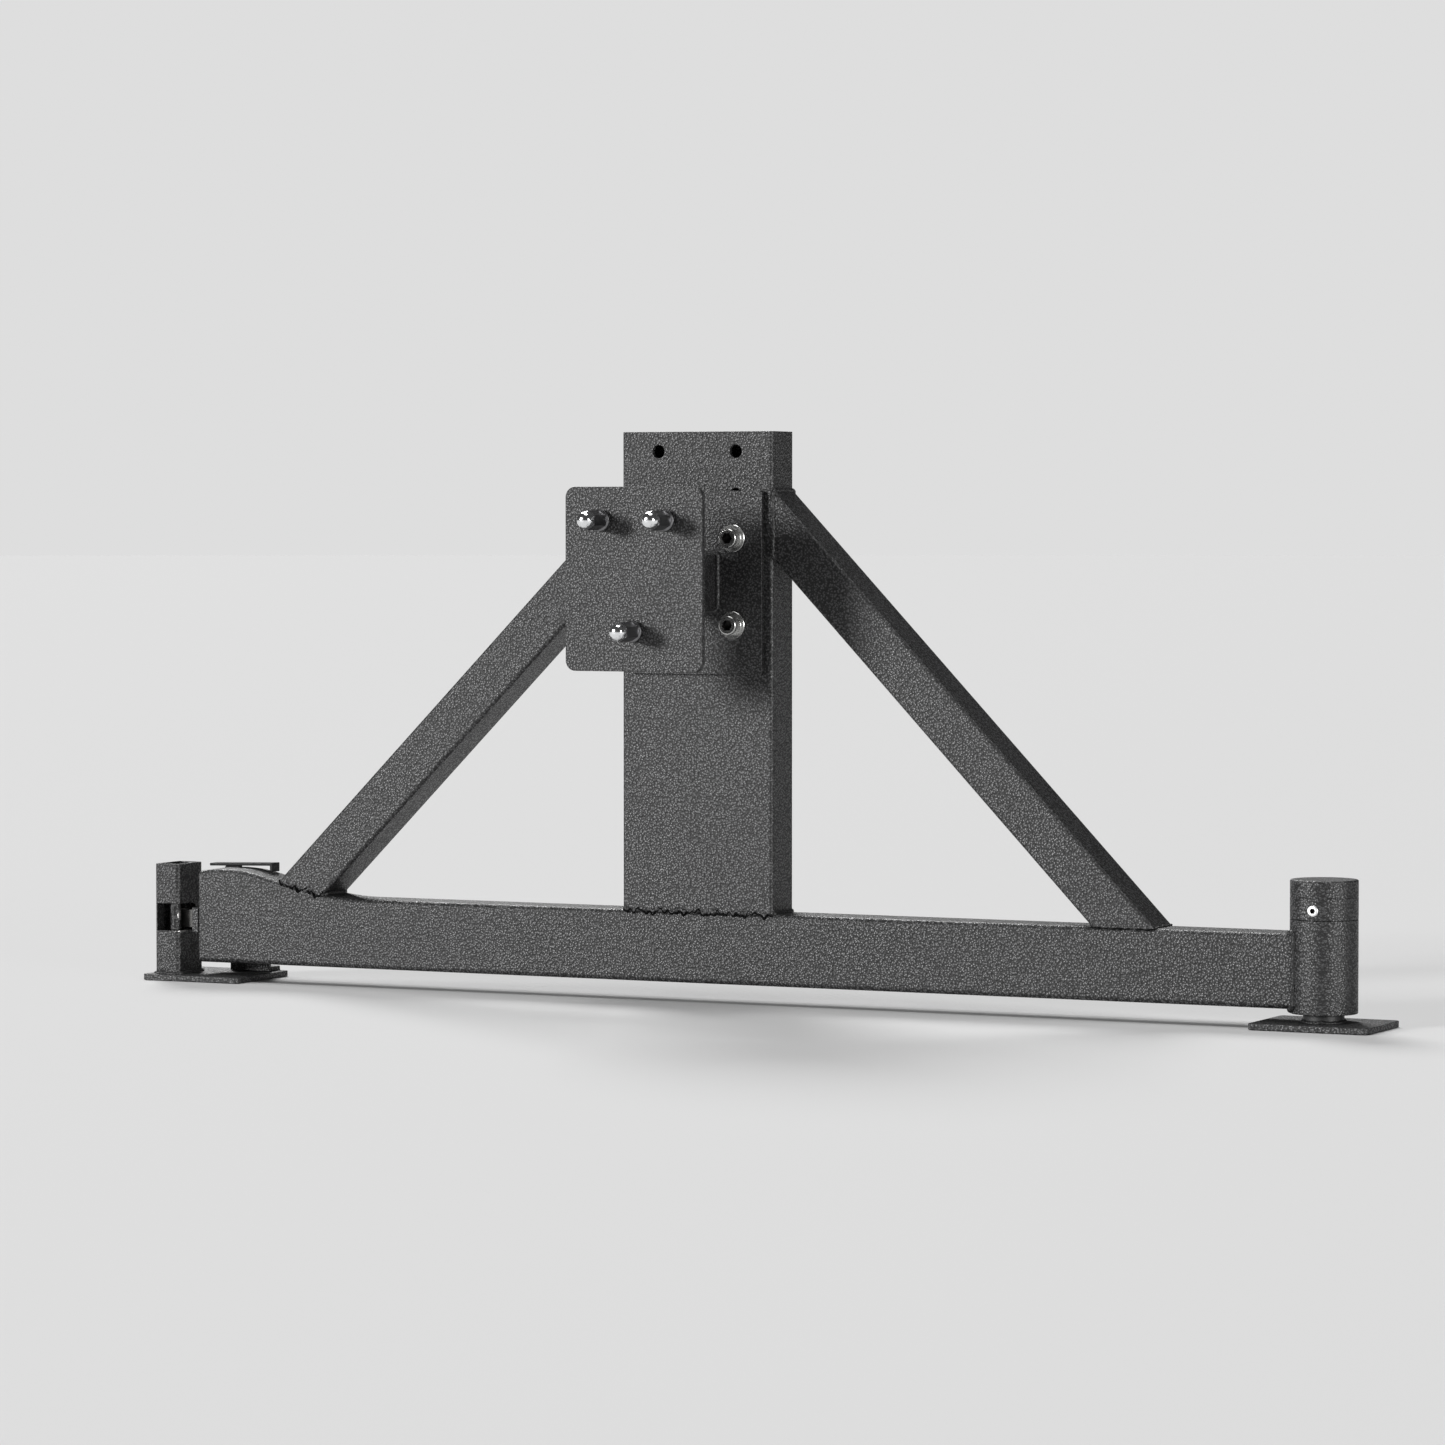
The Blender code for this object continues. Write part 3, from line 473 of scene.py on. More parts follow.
# The hinge barrel: thick steel tube bored from both ends for the two bearings, with a turned-down neck that
# the cap fits over. The arm's beam is welded to it.
BARREL = 34.5 * MM
LOCK_SCREW = (0, 120.5 * MM)  # x and z of the hole in front for the cap's screw
barrel_profile = np.array([(25.3, 15.3), (33.7, 15.3), (34.1, 15.41), (34.39, 15.7), (34.5, 16.1),
                           (34.5, 60), (34.5, 109.7), (34.32, 110.12), (33.9, 110.3), (29.9, 110.3),
                           (29.7, 110.5), (29.7, 127.4), (29.1, 128), (25.9, 128), (25.3, 127.4),
                           (25.3, 88.3), (22, 88.3), (22, 37.8), (25.3, 37.8)]) * MM
solid("hinge_barrel_bored", hollow(barrel_profile, count=128), COATED, "swing_arm", ["hinge_barrel"],
      [("DIFFERENCE", turned([(3.3 * MM, -40 * MM), (3.3 * MM, -15 * MM)], "y", LOCK_SCREW, 32))])

# The cap over the nut: a steel cup turned to the barrel's width, with a fine groove below its lid. One
# plated socket screw through its side locks it on the barrel's neck; its socket is painted near black, as
# painted shade.
cap_profile = np.array([(0.2, 144.4), (30, 144.4), (30, 110.6), (33.9, 110.6), (34.32, 110.78),
                        (34.5, 111.2), (34.5, 132.4), (34.15, 132.8), (34.15, 133.2), (34.5, 133.6),
                        (34.5, 148.6), (34.36, 149.3), (33.97, 149.87), (33.4, 150.26), (32.7, 150.4),
                        (18, 150.4), (0.2, 150.4)]) * MM
solid("hinge_cap_turned", turned(cap_profile, count=128), COATED, "swing_arm", ["hinge_cap"],
      [("DIFFERENCE", turned([(6.05 * MM, -40 * MM), (6.05 * MM, -15 * MM)], "y", LOCK_SCREW, 48))])
SCREW = metal("bright_zinc_on_small_screw", (0.88, 0.88, 0.88), 0.42, 0.02, relief=0.01)
# Near-black metal for the inside of the screws' sockets: painted shade in the recess.
SOCKET_SHADE = metal("painted_shade_in_socket", (0.035, 0.034, 0.033), 0.5, 0.1)
hexagon = ring(2.9 * MM, 6)
solid("cap_lock_screw", turned(np.array([(3.4, -35.25), (4.6, -35.2), (5.3, -34.95), (5.65, -34.55),
                                         (5.75, -34.1), (5.75, -30.4), (5.6, -30.3), (3.05, -30.29),
                                         (3.0, -30.2), (3.0, -26.6)]) * MM, "y", LOCK_SCREW, 48),
      SCREW, "swing_arm", ["cap_screw"],
      [("DIFFERENCE", skin(stood([(hexagon, -40 * MM), (hexagon, -31.5 * MM)], "y", LOCK_SCREW)),
        SOCKET_SHADE)])

# The main beam: one 3 x 2 inch tube, its top pressed up into a smooth flare at the latch end, its other end
# coped to the barrel.
BEAM_LEFT, BEAM_LOW, HALF, WALL = -1313 * MM, 19.8 * MM, 25.4 * MM, 4.8 * MM
ROUND = 5.5 * MM
flare = np.array([(-1313, 121.0), (-1302, 122.9), (-1290, 124.0), (-1274, 124.0), (-1257, 122.8),
                  (-1235, 118.6), (-1212, 112.8), (-1185, 106.4), (-1155, 100.3), (-1127.5, 96.9),
                  (-1108, 96.0)]) * MM
flare_slope = np.gradient(flare[:, 1], flare[:, 0])
flare_slope[-1] = 0


def beam_top(x):
    """Height of the beam's top at x: cubic Hermite pieces through the flare's stations, then level."""
    x = np.minimum(np.asarray(x, float), flare[-1, 0])
    at = np.clip(np.searchsorted(flare[:, 0], x) - 1, 0, len(flare) - 2)
    width = flare[at + 1, 0] - flare[at, 0]
    t = np.clip((x - flare[at, 0]) / width, 0, 1)
    return ((2 * t**3 - 3 * t**2 + 1) * flare[at, 1] + (t**3 - 2 * t**2 + t) * width * flare_slope[at]
            + (3 * t**2 - 2 * t**3) * flare[at + 1, 1] + (t**3 - t**2) * width * flare_slope[at + 1])


def beam_ring(x, shrink, corner):
    """The beam's section at x, as an outline (y, z) shrunk by so much on each side."""
    top = float(beam_top(x))
    outline = round_corners(HALF - shrink, (top - BEAM_LOW) / 2 - shrink, corner)
    return outline + (0, (top + BEAM_LOW) / 2)


def coped(outline, beyond):
    """A section pushed onto the barrel: x = beyond - sqrt((barrel + gap)^2 - y^2)."""
    x = beyond - np.sqrt((BARREL + GAP)**2 - outline[:, 0]**2)
    return np.column_stack([x, outline])


spans = np.concatenate([np.linspace(BEAM_LEFT, -1108 * MM, 110)[3:], np.linspace(-1090 * MM, -60 * MM, 24)])
outside = [(beam_ring(BEAM_LEFT + depth, back, ROUND - back), BEAM_LEFT + depth)
           for back, depth in eased(2.5 * MM, 7)]
outside += [(beam_ring(x, 0, ROUND), x) for x in spans]
inside = [(beam_ring(x, WALL, 0.8 * MM), x) for x in (BEAM_LEFT, *spans)]
beam_rings = np.concatenate([stood(outside, "x"), coped(beam_ring(0, 0, ROUND), 0)[None],
                             coped(beam_ring(0, WALL, 0.8 * MM), 0)[None], stood(inside, "x")[::-1]])
PIVOT = np.array((-1303.3 * MM, 0, 110.5 * MM))
slot_in_top = slab(round_corners(16 * MM, 4 * MM, 2 * MM, 5), 108 * MM, 140 * MM, "z",
                   (PIVOT[0] + 10 * MM, 14 * MM), edge=0.1 * MM)
solid("main_beam_tube", skin(beam_rings, wrapped=True), COATED, "swing_arm", ["main_beam"],
      [("DIFFERENCE", slot_in_top)])
beam_cope = coped(beam_ring(0, 0, ROUND), 0.6 * MM)
weld("beam_to_barrel_weld", beam_cope, (-1, 0, 0), 3.4 * MM, 11, wander=0.6 * MM)

# The plate let into the beam's end: thin steel with a short square nose welded on, which guides the bolt
# out through a window.
LIP = WALL + GAP
end_top = float(beam_top(BEAM_LEFT)) - LIP
end_low = BEAM_LOW + LIP
end_outline = round_corners(HALF - LIP, (end_top - end_low) / 2, 1 * MM) + (0, (end_top + end_low) / 2)
nose_outline = round_corners(10.7 * MM, 14.3 * MM, 2 * MM) + (-14.7 * MM, 65.9 * MM)
nose_root = round_corners(8.1 * MM, 14.3 * MM, 0.5 * MM) + (-12.1 * MM, 65.9 * MM)
bolt_window = round_corners(6.3 * MM, 10.3 * MM, 0.8 * MM) + (-14.3 * MM, 67.5 * MM)
solid("beam_end_plate", slab(end_outline, BEAM_LEFT + 0.3 * MM, BEAM_LEFT + 3.3 * MM, "x", edge=0.3 * MM),
      COATED, "swing_arm", ["end_plate"],
      [("UNION", slab(nose_outline, BEAM_LEFT - 8 * MM, BEAM_LEFT - GAP, "x", edge=0.8 * MM)),
       ("UNION", slab(nose_root, BEAM_LEFT - 2 * MM, BEAM_LEFT + 1 * MM, "x", edge=0.1 * MM)),
       ("DIFFERENCE", slab(bolt_window, BEAM_LEFT - 20 * MM, BEAM_LEFT + 20 * MM, "x", edge=0.1 * MM))])

# The post: 7 x 2 inch tube standing on the beam, with two columns of holes through both walls for the wheel
# mount, and a plate let into its top. It is welded all round its foot.
POST_X, POST_HALF, POST_TOP = -693 * MM, 88.9 * MM, 604.8 * MM


def tube_shape(half_u, half_v, corner, wall, start, end, axis, centre):
    """A rectangular tube with eased ends: outer rings from start to end, then inner rings back again."""
    outer = plate_rings(round_corners(half_u, half_v, corner), start, end, 0.6 * MM)
    inner_outline = round_corners(half_u - wall, half_v - wall, 0.8 * MM)
    return skin(stood(outer + [(inner_outline, end), (inner_outline, start)], axis, centre), wrapped=True)


def drill(radius, near, far, axis, centre, rim=0.5 * MM):
    """A cutter for a hole whose two rims are eased: it widens by a quarter round at near and at far."""
    down = [(radius + back, near + depth) for back, depth in eased(rim)[::-1]]
    steps = [(radius + rim * (1 - math.cos(turn)), near + rim * (1 - math.sin(turn)))
             for turn in np.radians((90, 60, 30, 0))]
    rise = [(size, far - (at - near)) for size, at in steps[::-1]]
    profile = [(steps[0][0], near - 3 * MM)] + steps + rise + [(steps[0][0], far + 3 * MM)]
    return turned(profile, axis, centre, 40)


def together(shapes):
    """Several separate shapes as one list of points and faces."""
    starts = np.cumsum([0] + [len(points) for points, _ in shapes])
    faces = [[corner + int(start) for corner in face] for start, (_, some) in zip(starts, shapes)
             for face in some]
    return np.concatenate([points for points, _ in shapes]), faces


HOLE_SIDE = 45.5 * MM
hole_rows = (583.9 - 45.8 * np.arange(5)) * MM
hole_places = [(POST_X + side * HOLE_SIDE, z) for z in hole_rows for side in (-1, 1)]
solid("post_tube", tube_shape(POST_HALF, HALF, 4 * MM, WALL, 96.3 * MM, POST_TOP, "z", (POST_X, 0)), COATED,
      "swing_arm", ["post"],
      [("DIFFERENCE", together([drill(7 * MM, -HALF, HALF, "y", at) for at in hole_places]))])
solid("post_top_plate", slab(round_corners(POST_HALF - LIP, HALF - LIP, 1 * MM), POST_TOP - 4.5 * MM,
                             POST_TOP - 0.2 * MM, "z", (POST_X, 0), edge=0.4 * MM), COATED, "swing_arm",
      ["post_cap"])


def foot_welds(name, outline, place, facing, seed, lumps, shade_radius, wander=1.7 * MM, fillet=2.9 * MM):
    """The weld round a tube's end: a fillet bead round its back and sides, and across its front, which is
    flush with the beam's, a low lumpy bead. Along that bead's lower edge lies a thin near-black bead of its
    own that stands for the shade in the groove there: painted shade. place turns rows of the outline (u, y)
    into points."""
    front = outline[:, 1] < -HALF + 3 * MM
    start = int(np.argmax(front & ~np.roll(front, 1)))
    outline, front = np.roll(outline, -start, 0), np.roll(front, -start)
    face, rest = outline[front], outline[~front]
    weld(f"{name}_fillet", place(np.vstack([face[-1:], rest, face[:1]])), facing, fillet, seed, loop=False)
    u = np.linspace(face[0, 0], face[-1, 0], 30)
    weld(f"{name}_seam", place(np.column_stack([u, np.full(30, -HALF + lumps - 0.9 * MM)])), facing, lumps,
         seed + 7, loop=False, wander=wander * 0.5, look=COATED)
    weld(f"{name}_undercut", place(np.column_stack([u, np.full(30, -HALF - 0.1 * MM)]), -0.45 * lumps),
         facing, shade_radius, seed + 8, loop=False, wander=wander, look=GROOVE_SHADE)


# A near-black coat for the thin bead below a weld's front: painted shade of the groove along its edge.
GROOVE_SHADE = powder_coat("painted_shade_of_the_groove", (0.0015, 0.0015, 0.0015, 1), (0.003, 0.003, 0.003, 1), 0.9, 0.4,
                      0.05)


def at_post_foot(flat, drop=0.0):
    """Rows (u, y) of the post's outline as points just over the beam's top."""
    return np.column_stack([flat[:, 0] + POST_X, flat[:, 1], np.full(len(flat), 96.4 * MM + drop)])


foot_welds("post_foot_weld", round_corners(POST_HALF - 0.3 * MM, HALF - 0.3 * MM, 4 * MM), at_post_foot,
           (0, 0, 1), 5, 3.4 * MM, 1.2 * MM, 2.0 * MM)


# The braces: 2 inch square steel tube, cut on the slant to lie on the post's side above and on the beam
# below, and welded there. The left one stands on the beam's flare.
def brace(name, stands_for, side, upper, lower, seed, foot):
    """upper and lower are the (x, z) ends of the front face's two edges, foot first. Each line of the tube
    runs from where it meets the beam's top, found by halving, to the post's side."""
    upper, lower = np.array(upper) * MM, np.array(lower) * MM
    along = (upper[1] - upper[0]) / np.linalg.norm(upper[1] - upper[0])
    across = np.array([-along[1], along[0]]) * side
    half = abs(np.dot(upper[0] - lower[0], across)) / 2
    centre = (upper[0] + lower[0]) / 2

    def lines(outline):
        start = centre + across * outline[:, :1]
        head = start + along * ((POST_X + side * (POST_HALF + GAP) - start[:, :1]) / along[0])
        low, high = np.full(len(outline), -0.2), np.full(len(outline), 0.2)
        for _ in range(40):
            half_way = (low + high) / 2
            spot = start + along * half_way[:, None]
            clear = spot[:, 1] > beam_top(spot[:, 0]) + GAP
            high, low = np.where(clear, half_way, high), np.where(clear, low, half_way)
        return start + along * high[:, None], head

    def at(outline, share):
        start, head = lines(outline)
        spot = start + (head - start) * share
        return np.column_stack([spot[:, 0], outline[:, 1], spot[:, 1]])

    outer, inner = round_corners(half, HALF, 4 * MM), round_corners(half - WALL, HALF - WALL, 0.8 * MM)
    rings = [at(outer, share) for share in np.linspace(0, 1, 12)] + [at(inner, share) for share in (1, 0)]
    solid(name, skin(np.array(rings), wrapped=True), COATED, "swing_arm", [stands_for])
    closer = round_corners(half - 0.3 * MM, HALF - 0.3 * MM, 4 * MM)
    foot_welds(f"{stands_for}_foot_weld", closer,
               lambda flat, drop=0.0: at(flat, 0) + (0, 0, 0.2 * MM + drop), (0, 0, 1), seed, *foot)
    weld(f"{stands_for}_head_weld", at(closer, 1), (side, 0, 0), 2.4 * MM, seed + 1, wander=0.3 * MM,
         look=COATED)


brace("left_brace_tube", "left_brace", -1, [(-1226.5, 96), (-781.9, 538)], [(-1155.5, 96), (-781.9, 467.4)],
      21, (3.4 * MM, 1.3 * MM, 2.1 * MM))
brace("right_brace_tube", "right_brace", 1, [(-172.5, 96), (-604.1, 543.5)], [(-243, 96), (-604.1, 470.4)],
      31, (2.6 * MM, 0.8 * MM, 0.4 * MM, 1.5 * MM))

# The wheel mount: a square-cornered plate bolted to the post, a short square tube, and the round-cornered
# plate that carries the wheel's studs, all welded together.
MOUNT_BACK = -HALF - GAP
MOUNT_FRONT = MOUNT_BACK - PLATE
STUD_FRONT = -172.7 * MM
STUD_BACK = STUD_FRONT + PLATE
STUD_CIRCLE = 63.5 * MM  # radius of the wheel's bolt circle, which is set for five studs
SPACER = (POST_X, 446.3 * MM)
bolt_places = [(POST_X + side * HOLE_SIDE, z) for z in (hole_rows[2], hole_rows[4]) for side in (-1, 1)]
stud_places = [(POST_X + STUD_CIRCLE * math.sin(turn), 459.9 * MM + STUD_CIRCLE * math.cos(turn))
               for turn in (-math.tau / 10, math.tau / 10, math.pi)]
solid("mount_plate_flat", slab(round_corners(79.4 * MM, 96.95 * MM, 3 * MM), MOUNT_BACK, MOUNT_FRONT, "y",
                               (POST_X, 445.45 * MM)), COATED, "swing_arm", ["mount_plate"],
      [("DIFFERENCE", together([drill(6.5 * MM, MOUNT_FRONT, MOUNT_BACK, "y", at) for at in bolt_places]))])
solid("mount_spacer", tube_shape(26.6 * MM, 29.7 * MM, 4 * MM, 5 * MM, MOUNT_FRONT - GAP, STUD_BACK + GAP,
                                 "y", SPACER), COATED, "swing_arm", ["spacer_tube"])
solid("stud_plate_flat", slab(round_corners(79.4 * MM, 95.6 * MM, 11 * MM, 14), STUD_BACK, STUD_FRONT, "y",
                              (POST_X, 450.5 * MM), edge=0.6 * MM), COATED, "swing_arm", ["stud_plate"],
      [("DIFFERENCE", together([drill(6.3 * MM, STUD_FRONT, STUD_BACK, "y", at, 0.3 * MM)
                                for at in stud_places]))])
spacer_loop = round_corners(27.4 * MM, 30.5 * MM, 4.5 * MM) + SPACER
for name, y, seed in (("spacer_rear_weld", MOUNT_FRONT, 41), ("spacer_front_weld", STUD_BACK, 42)):
    weld(name, np.column_stack([spacer_loop[:, 0], np.full(len(spacer_loop), y), spacer_loop[:, 1]]),
         (0, 1, 0), 3.2 * MM, seed)

# The mount bolts: M12 socket-head cap screws with knurled heads, each with a flat washer in front of the
# plate and a hexagon nut behind the post, all zinc plated. Each socket's inside is painted near black:
# painted shade.
def six_sided(half_width, count=72):
    """A hexagon's outline: r = half_width / cos(angle from the nearest flat's middle)."""
    turn = np.arange(count) * math.tau / count
    off = (turn + math.tau / 12) % (math.tau / 6) - math.tau / 12
    return ring(1, count) * (half_width / np.cos(off))[:, None]


def chamfered(outline, limit):
    """An outline cut back to a circle wherever it goes over the limit."""
    size = np.linalg.norm(outline, axis=1)
    return outline * np.minimum(1, limit / size)[:, None]


for number, at in enumerate(bolt_places, 1):
    front = MOUNT_FRONT - GAP
    washer = np.array([(6.5, 0.2), (6.7, 0), (14.2, 0), (14.5, 0.3), (14.5, 2.2), (14.2, 2.5), (6.7, 2.5),
                       (6.5, 2.3)])
    solid(f"mount_washer_{number}_plated",
          hollow([(size * MM, front - deep * MM) for size, deep in washer], "y", at, 72), ZINC, "swing_arm",
          [f"mount_washer_{number}"])
    seat = front - 2.8 * MM
    knurl = ring(1, 144) * (1 - 0.014 * np.abs(np.sin(36 * np.arange(144) * math.tau / 144)))[:, None]
    head = [(ring(size * MM, 144), seat - deep * MM) for size, deep in (
        (7.6, 11.5), (8.9, 11.45), (9.5, 11.2), (9.9, 10.7), (10.05, 10.3))]
    head += [(knurl * 10.35 * MM, seat - deep * MM) for deep in (9.8, 7, 4, 1.4)]
    head += [(ring(size * MM, 144), seat - deep * MM)
             for size, deep in ((10.1, 0.9), (9.8, 0.2), (9.4, 0), (6.2, -0.01))]
    shank = [(ring(6 * MM, 144), y * MM) for y in (-34, 20)]
    shank += thread(6 * MM, 20.5 * MM, 39.6 * MM, 1.75 * MM, 0.9 * MM, "y", at, 144)
    shank += [(ring(4.9 * MM, 144), 40.5 * MM)]
    socket = ring(5.8 * MM, 6)
    solid(f"mount_bolt_{number}_capscrew", skin(stood(head + shank, "y", at)), ZINC, "swing_arm",
          [f"mount_bolt_{number}"],
          [("DIFFERENCE", skin(stood([(socket * 1.14, seat - 14 * MM), (socket * 1.06, seat - 11.5 * MM),
                                      (socket, seat - 10.9 * MM), (socket, seat - 5.2 * MM),
                                      (socket * 0.2, seat - 3.4 * MM)], "y", at)), SOCKET_SHADE)])
    nut_rings = [(chamfered(six_sided(9.2 * MM), limit * MM), HALF + (0.3 + deep) * MM) for limit, deep in (
        (9.2, 0), (10.0, 0.35), (10.7, 0.9), (10.7, 9.9), (10.0, 10.45), (9.2, 10.8))]
    nut_rings += [(ring(7.0 * MM, 72), HALF + 11.1 * MM), (ring(6.3 * MM, 72), HALF + 10.4 * MM),
                  (ring(6.3 * MM, 72), HALF + 1 * MM), (ring(7.0 * MM, 72), HALF + 0.3 * MM)]
    solid(f"mount_nut_{number}_hex", skin(stood(nut_rings, "y", at), wrapped=True), ZINC, "swing_arm",
          [f"mount_nut_{number}"])

# The wheel studs: pressed into the plate from behind, knurled under the head, each closed by a chromed nut
# with a cone seat, a six-sided grip and a domed end.
# The nut's shank is rougher than its dome and painted darker, a painted reflection of the dark plate round
# it.
CHROME = Finish("chrome_with_painted_dark_reflection_on_shank")
chrome_place = CHROME.node("ShaderNodeTexCoord", {}, {}, "Object")
chrome_depth = CHROME.node("ShaderNodeSeparateXYZ", {}, {"Vector": chrome_place}, 1)
shank_painted_dark = ((chrome_depth - (STUD_FRONT - 33.0 * MM)) * 900).held()
chrome_haze = CHROME.node("ShaderNodeTexNoise", {}, {"Vector": chrome_place, "Scale": 260.0, "Detail": 3.0})
CHROME.feed(CHROME.shader, {"Base Color": CHROME.blend(shank_painted_dark, (0.90, 0.91, 0.92, 1),
                                                       (0.20, 0.20, 0.205, 1)), "Metallic": 1.0,
                            "Roughness": 0.10 + 0.16 * shank_painted_dark + 0.08 * chrome_haze,
                            "Normal": CHROME.node("ShaderNodeBump", {},
                                                  {"Strength": 0.3, "Distance": 0.04 * MM,
                                                   "Height": chrome_haze})})
for number, at in enumerate(stud_places, 1):
    stud_rings = [(ring(5 * MM, 40), STUD_FRONT - 31 * MM)]
    stud_rings += thread(6 * MM, STUD_FRONT - 30 * MM, STUD_FRONT - 2 * MM, 1.5 * MM, 0.8 * MM, "y", at)
    stud_rings += [(ring(size * MM, 40), STUD_BACK + deep * MM) for size, deep in (
        (6, 0.3), (8.0, 0.31), (8.5, 0.8), (8.5, 5), (8.0, 5.7), (7.2, 5.8))]
    solid(f"wheel_stud_{number}_pressed", skin(stood(stud_rings, "y", at)), ZINC, "swing_arm",
          [f"wheel_stud_{number}"])
    seat = STUD_FRONT - GAP
    nut = [(ring(6.4 * MM, 72), seat - 1 * MM), (ring(6.4 * MM, 72), seat), (ring(8.4 * MM, 72), seat),
           (ring(9.4 * MM, 72), seat - 1 * MM), (ring(11.0 * MM, 72), seat - 3.0 * MM),
           (ring(11.3 * MM, 72), seat - 3.6 * MM), (ring(11.0 * MM, 72), seat - 4.4 * MM),
           (ring(10.2 * MM, 72), seat - 5 * MM)]
    nut += [(chamfered(six_sided(8.9 * MM), limit * MM), seat - deep * MM) for limit, deep in (
        (9.6, 5.5), (10.1, 6.5), (10.2, 7.4), (10.2, 29.5), (10.0, 31), (9.6, 32.2), (9.2, 33))]
    nut += [(ring(size * MM, 72), seat - deep * MM)
            for size, deep in ((9.2, 33.6), (9.1, 34.6), (9.0, 36), (8.6, 37.6), (7.8, 39.3), (6.6, 40.8),
                               (5.0, 41.9), (3.0, 42.5), (1.0, 42.7))]
    solid(f"lug_nut_{number}_closed", skin(stood(nut, "y", at)), CHROME.material, "swing_arm",
          [f"lug_nut_{number}"],
          [("DIFFERENCE", turned([(6.3 * MM, seat + 5 * MM), (6.3 * MM, seat - 33 * MM)], "y", at, 40))],
          sharp=28)

# The latch's inside: a pin across the beam's end for the handle, a plate that holds the spring's end, and
# the spring round the bolt's rod.
pin_profile = np.array([(2.9, -20.2), (3.25, -19.8), (3.25, 19.8), (2.9, 20.2)]) * MM
solid("handle_pin_turned", turned(pin_profile, "y", (PIVOT[0], PIVOT[2]), 40), STEEL, "swing_arm",
      ["handle_pin"])
ROD_Y, ROD_Z, SHOULDER, STOP = -14.3 * MM, 67.5 * MM, -1272 * MM, -1232 * MM
stop_top = float(beam_top(STOP)) - LIP - 2 * MM
stop_outline = round_corners(HALF - LIP, (stop_top - end_low) / 2, 1 * MM) + (0, (stop_top + end_low) / 2)
solid("spring_stop_plate", slab(stop_outline, STOP, STOP + 4 * MM, "x", edge=0.4 * MM), COATED,
      "swing_arm", ["spring_plate"],
      [("DIFFERENCE", drill(4 * MM, STOP, STOP + 4 * MM, "x", (ROD_Y, ROD_Z)))])
spring_turn = np.linspace(0, math.tau * 7, 7 * 36)
spring_x = np.linspace(SHOULDER + 1.3 * MM, STOP - 1.3 * MM, len(spring_turn))
wire = ring(0.9 * MM, 12)
spring_out = 4.85 * MM + wire[None, :, 0]
spring_rings = np.stack([spring_x[:, None] + wire[None, :, 1] + 0 * spring_out,
                         ROD_Y + spring_out * np.cos(spring_turn)[:, None],
                         ROD_Z + spring_out * np.sin(spring_turn)[:, None]], -1)
solid("latch_spring_coil", skin(spring_rings), STEEL, "swing_arm", ["latch_spring"], sharp=60)


# The handle: a flat grip with a turned-down end, an arm down through the slot, a hub on the pin and a crank
# that works the bolt. It is one welded steel piece with a smooth black coat.
def smooth_outline(corners, radius, steps=5):
    """A closed outline whose corners are rounded by quadratic curves that start `radius` before each
    corner."""
    corners = np.array(corners, float)
    back, on = np.roll(corners, 1, 0) - corners, np.roll(corners, -1, 0) - corners
    back /= np.linalg.norm(back, axis=1)[:, None]
    on /= np.linalg.norm(on, axis=1)[:, None]
    t = np.linspace(0, 1, steps)[None, :, None]
    start, end = (corners + back * radius)[:, None], (corners + on * radius)[:, None]
    return ((1 - t)**2 * start + 2 * t * (1 - t) * corners[:, None] + t**2 * end).reshape(-1, 2)


HANDLE = powder_coat("smooth_black_on_the_handle", (0.004, 0.004, 0.004, 1), (0.007, 0.007, 0.007, 1), 0.5,
                     0.12, 0.22)
grip = smooth_outline(np.array([(-1318, 125.0), (-1240, 127.0), (-1240, 120.3), (-1236, 120.2),
                                (-1236, 130.3), (-1318, 128.1)]) * MM, 1.0 * MM)
arm = smooth_outline(np.array([(-4, -3.5), (4, -5), (22, 12), (22, 17.2), (6, 17.2), (-5.4, 1.6)]) * MM,
                     1 * MM)
reach = np.array((10.3, -44.5)) * MM
heading = reach / np.linalg.norm(reach)
aside = np.array((-heading[1], heading[0])) * 4 * MM
crank_turn = math.atan2(heading[1], heading[0]) + np.radians(np.linspace(-90, 90, 13))
crank = np.vstack([reach + 4 * MM * np.column_stack([np.cos(crank_turn), np.sin(crank_turn)]),
                   [aside, -aside]])
pivot_xz = (PIVOT[0], PIVOT[2])
hub_profile = np.array([(5.6, -18), (6, -17.6), (6, 17.6), (5.6, 18)]) * MM
pin_hole = np.array([(3.55, -30), (3.55, 30)]) * MM
solid("latch_handle_lever", slab(grip, 22.6 * MM, 7.6 * MM, "y", edge=0.7 * MM), HANDLE, "latch_handle",
      ["latch_handle"], [("UNION", slab(arm, 17 * MM, 11 * MM, "y", pivot_xz, edge=0.4 * MM)),
                         ("UNION", turned(hub_profile, "y", pivot_xz, 48)),
                         ("UNION", slab(crank, -11.8 * MM, -16.8 * MM, "y", pivot_xz, edge=0.4 * MM)),
                         ("DIFFERENCE", turned(pin_hole, "y", pivot_xz, 40))])

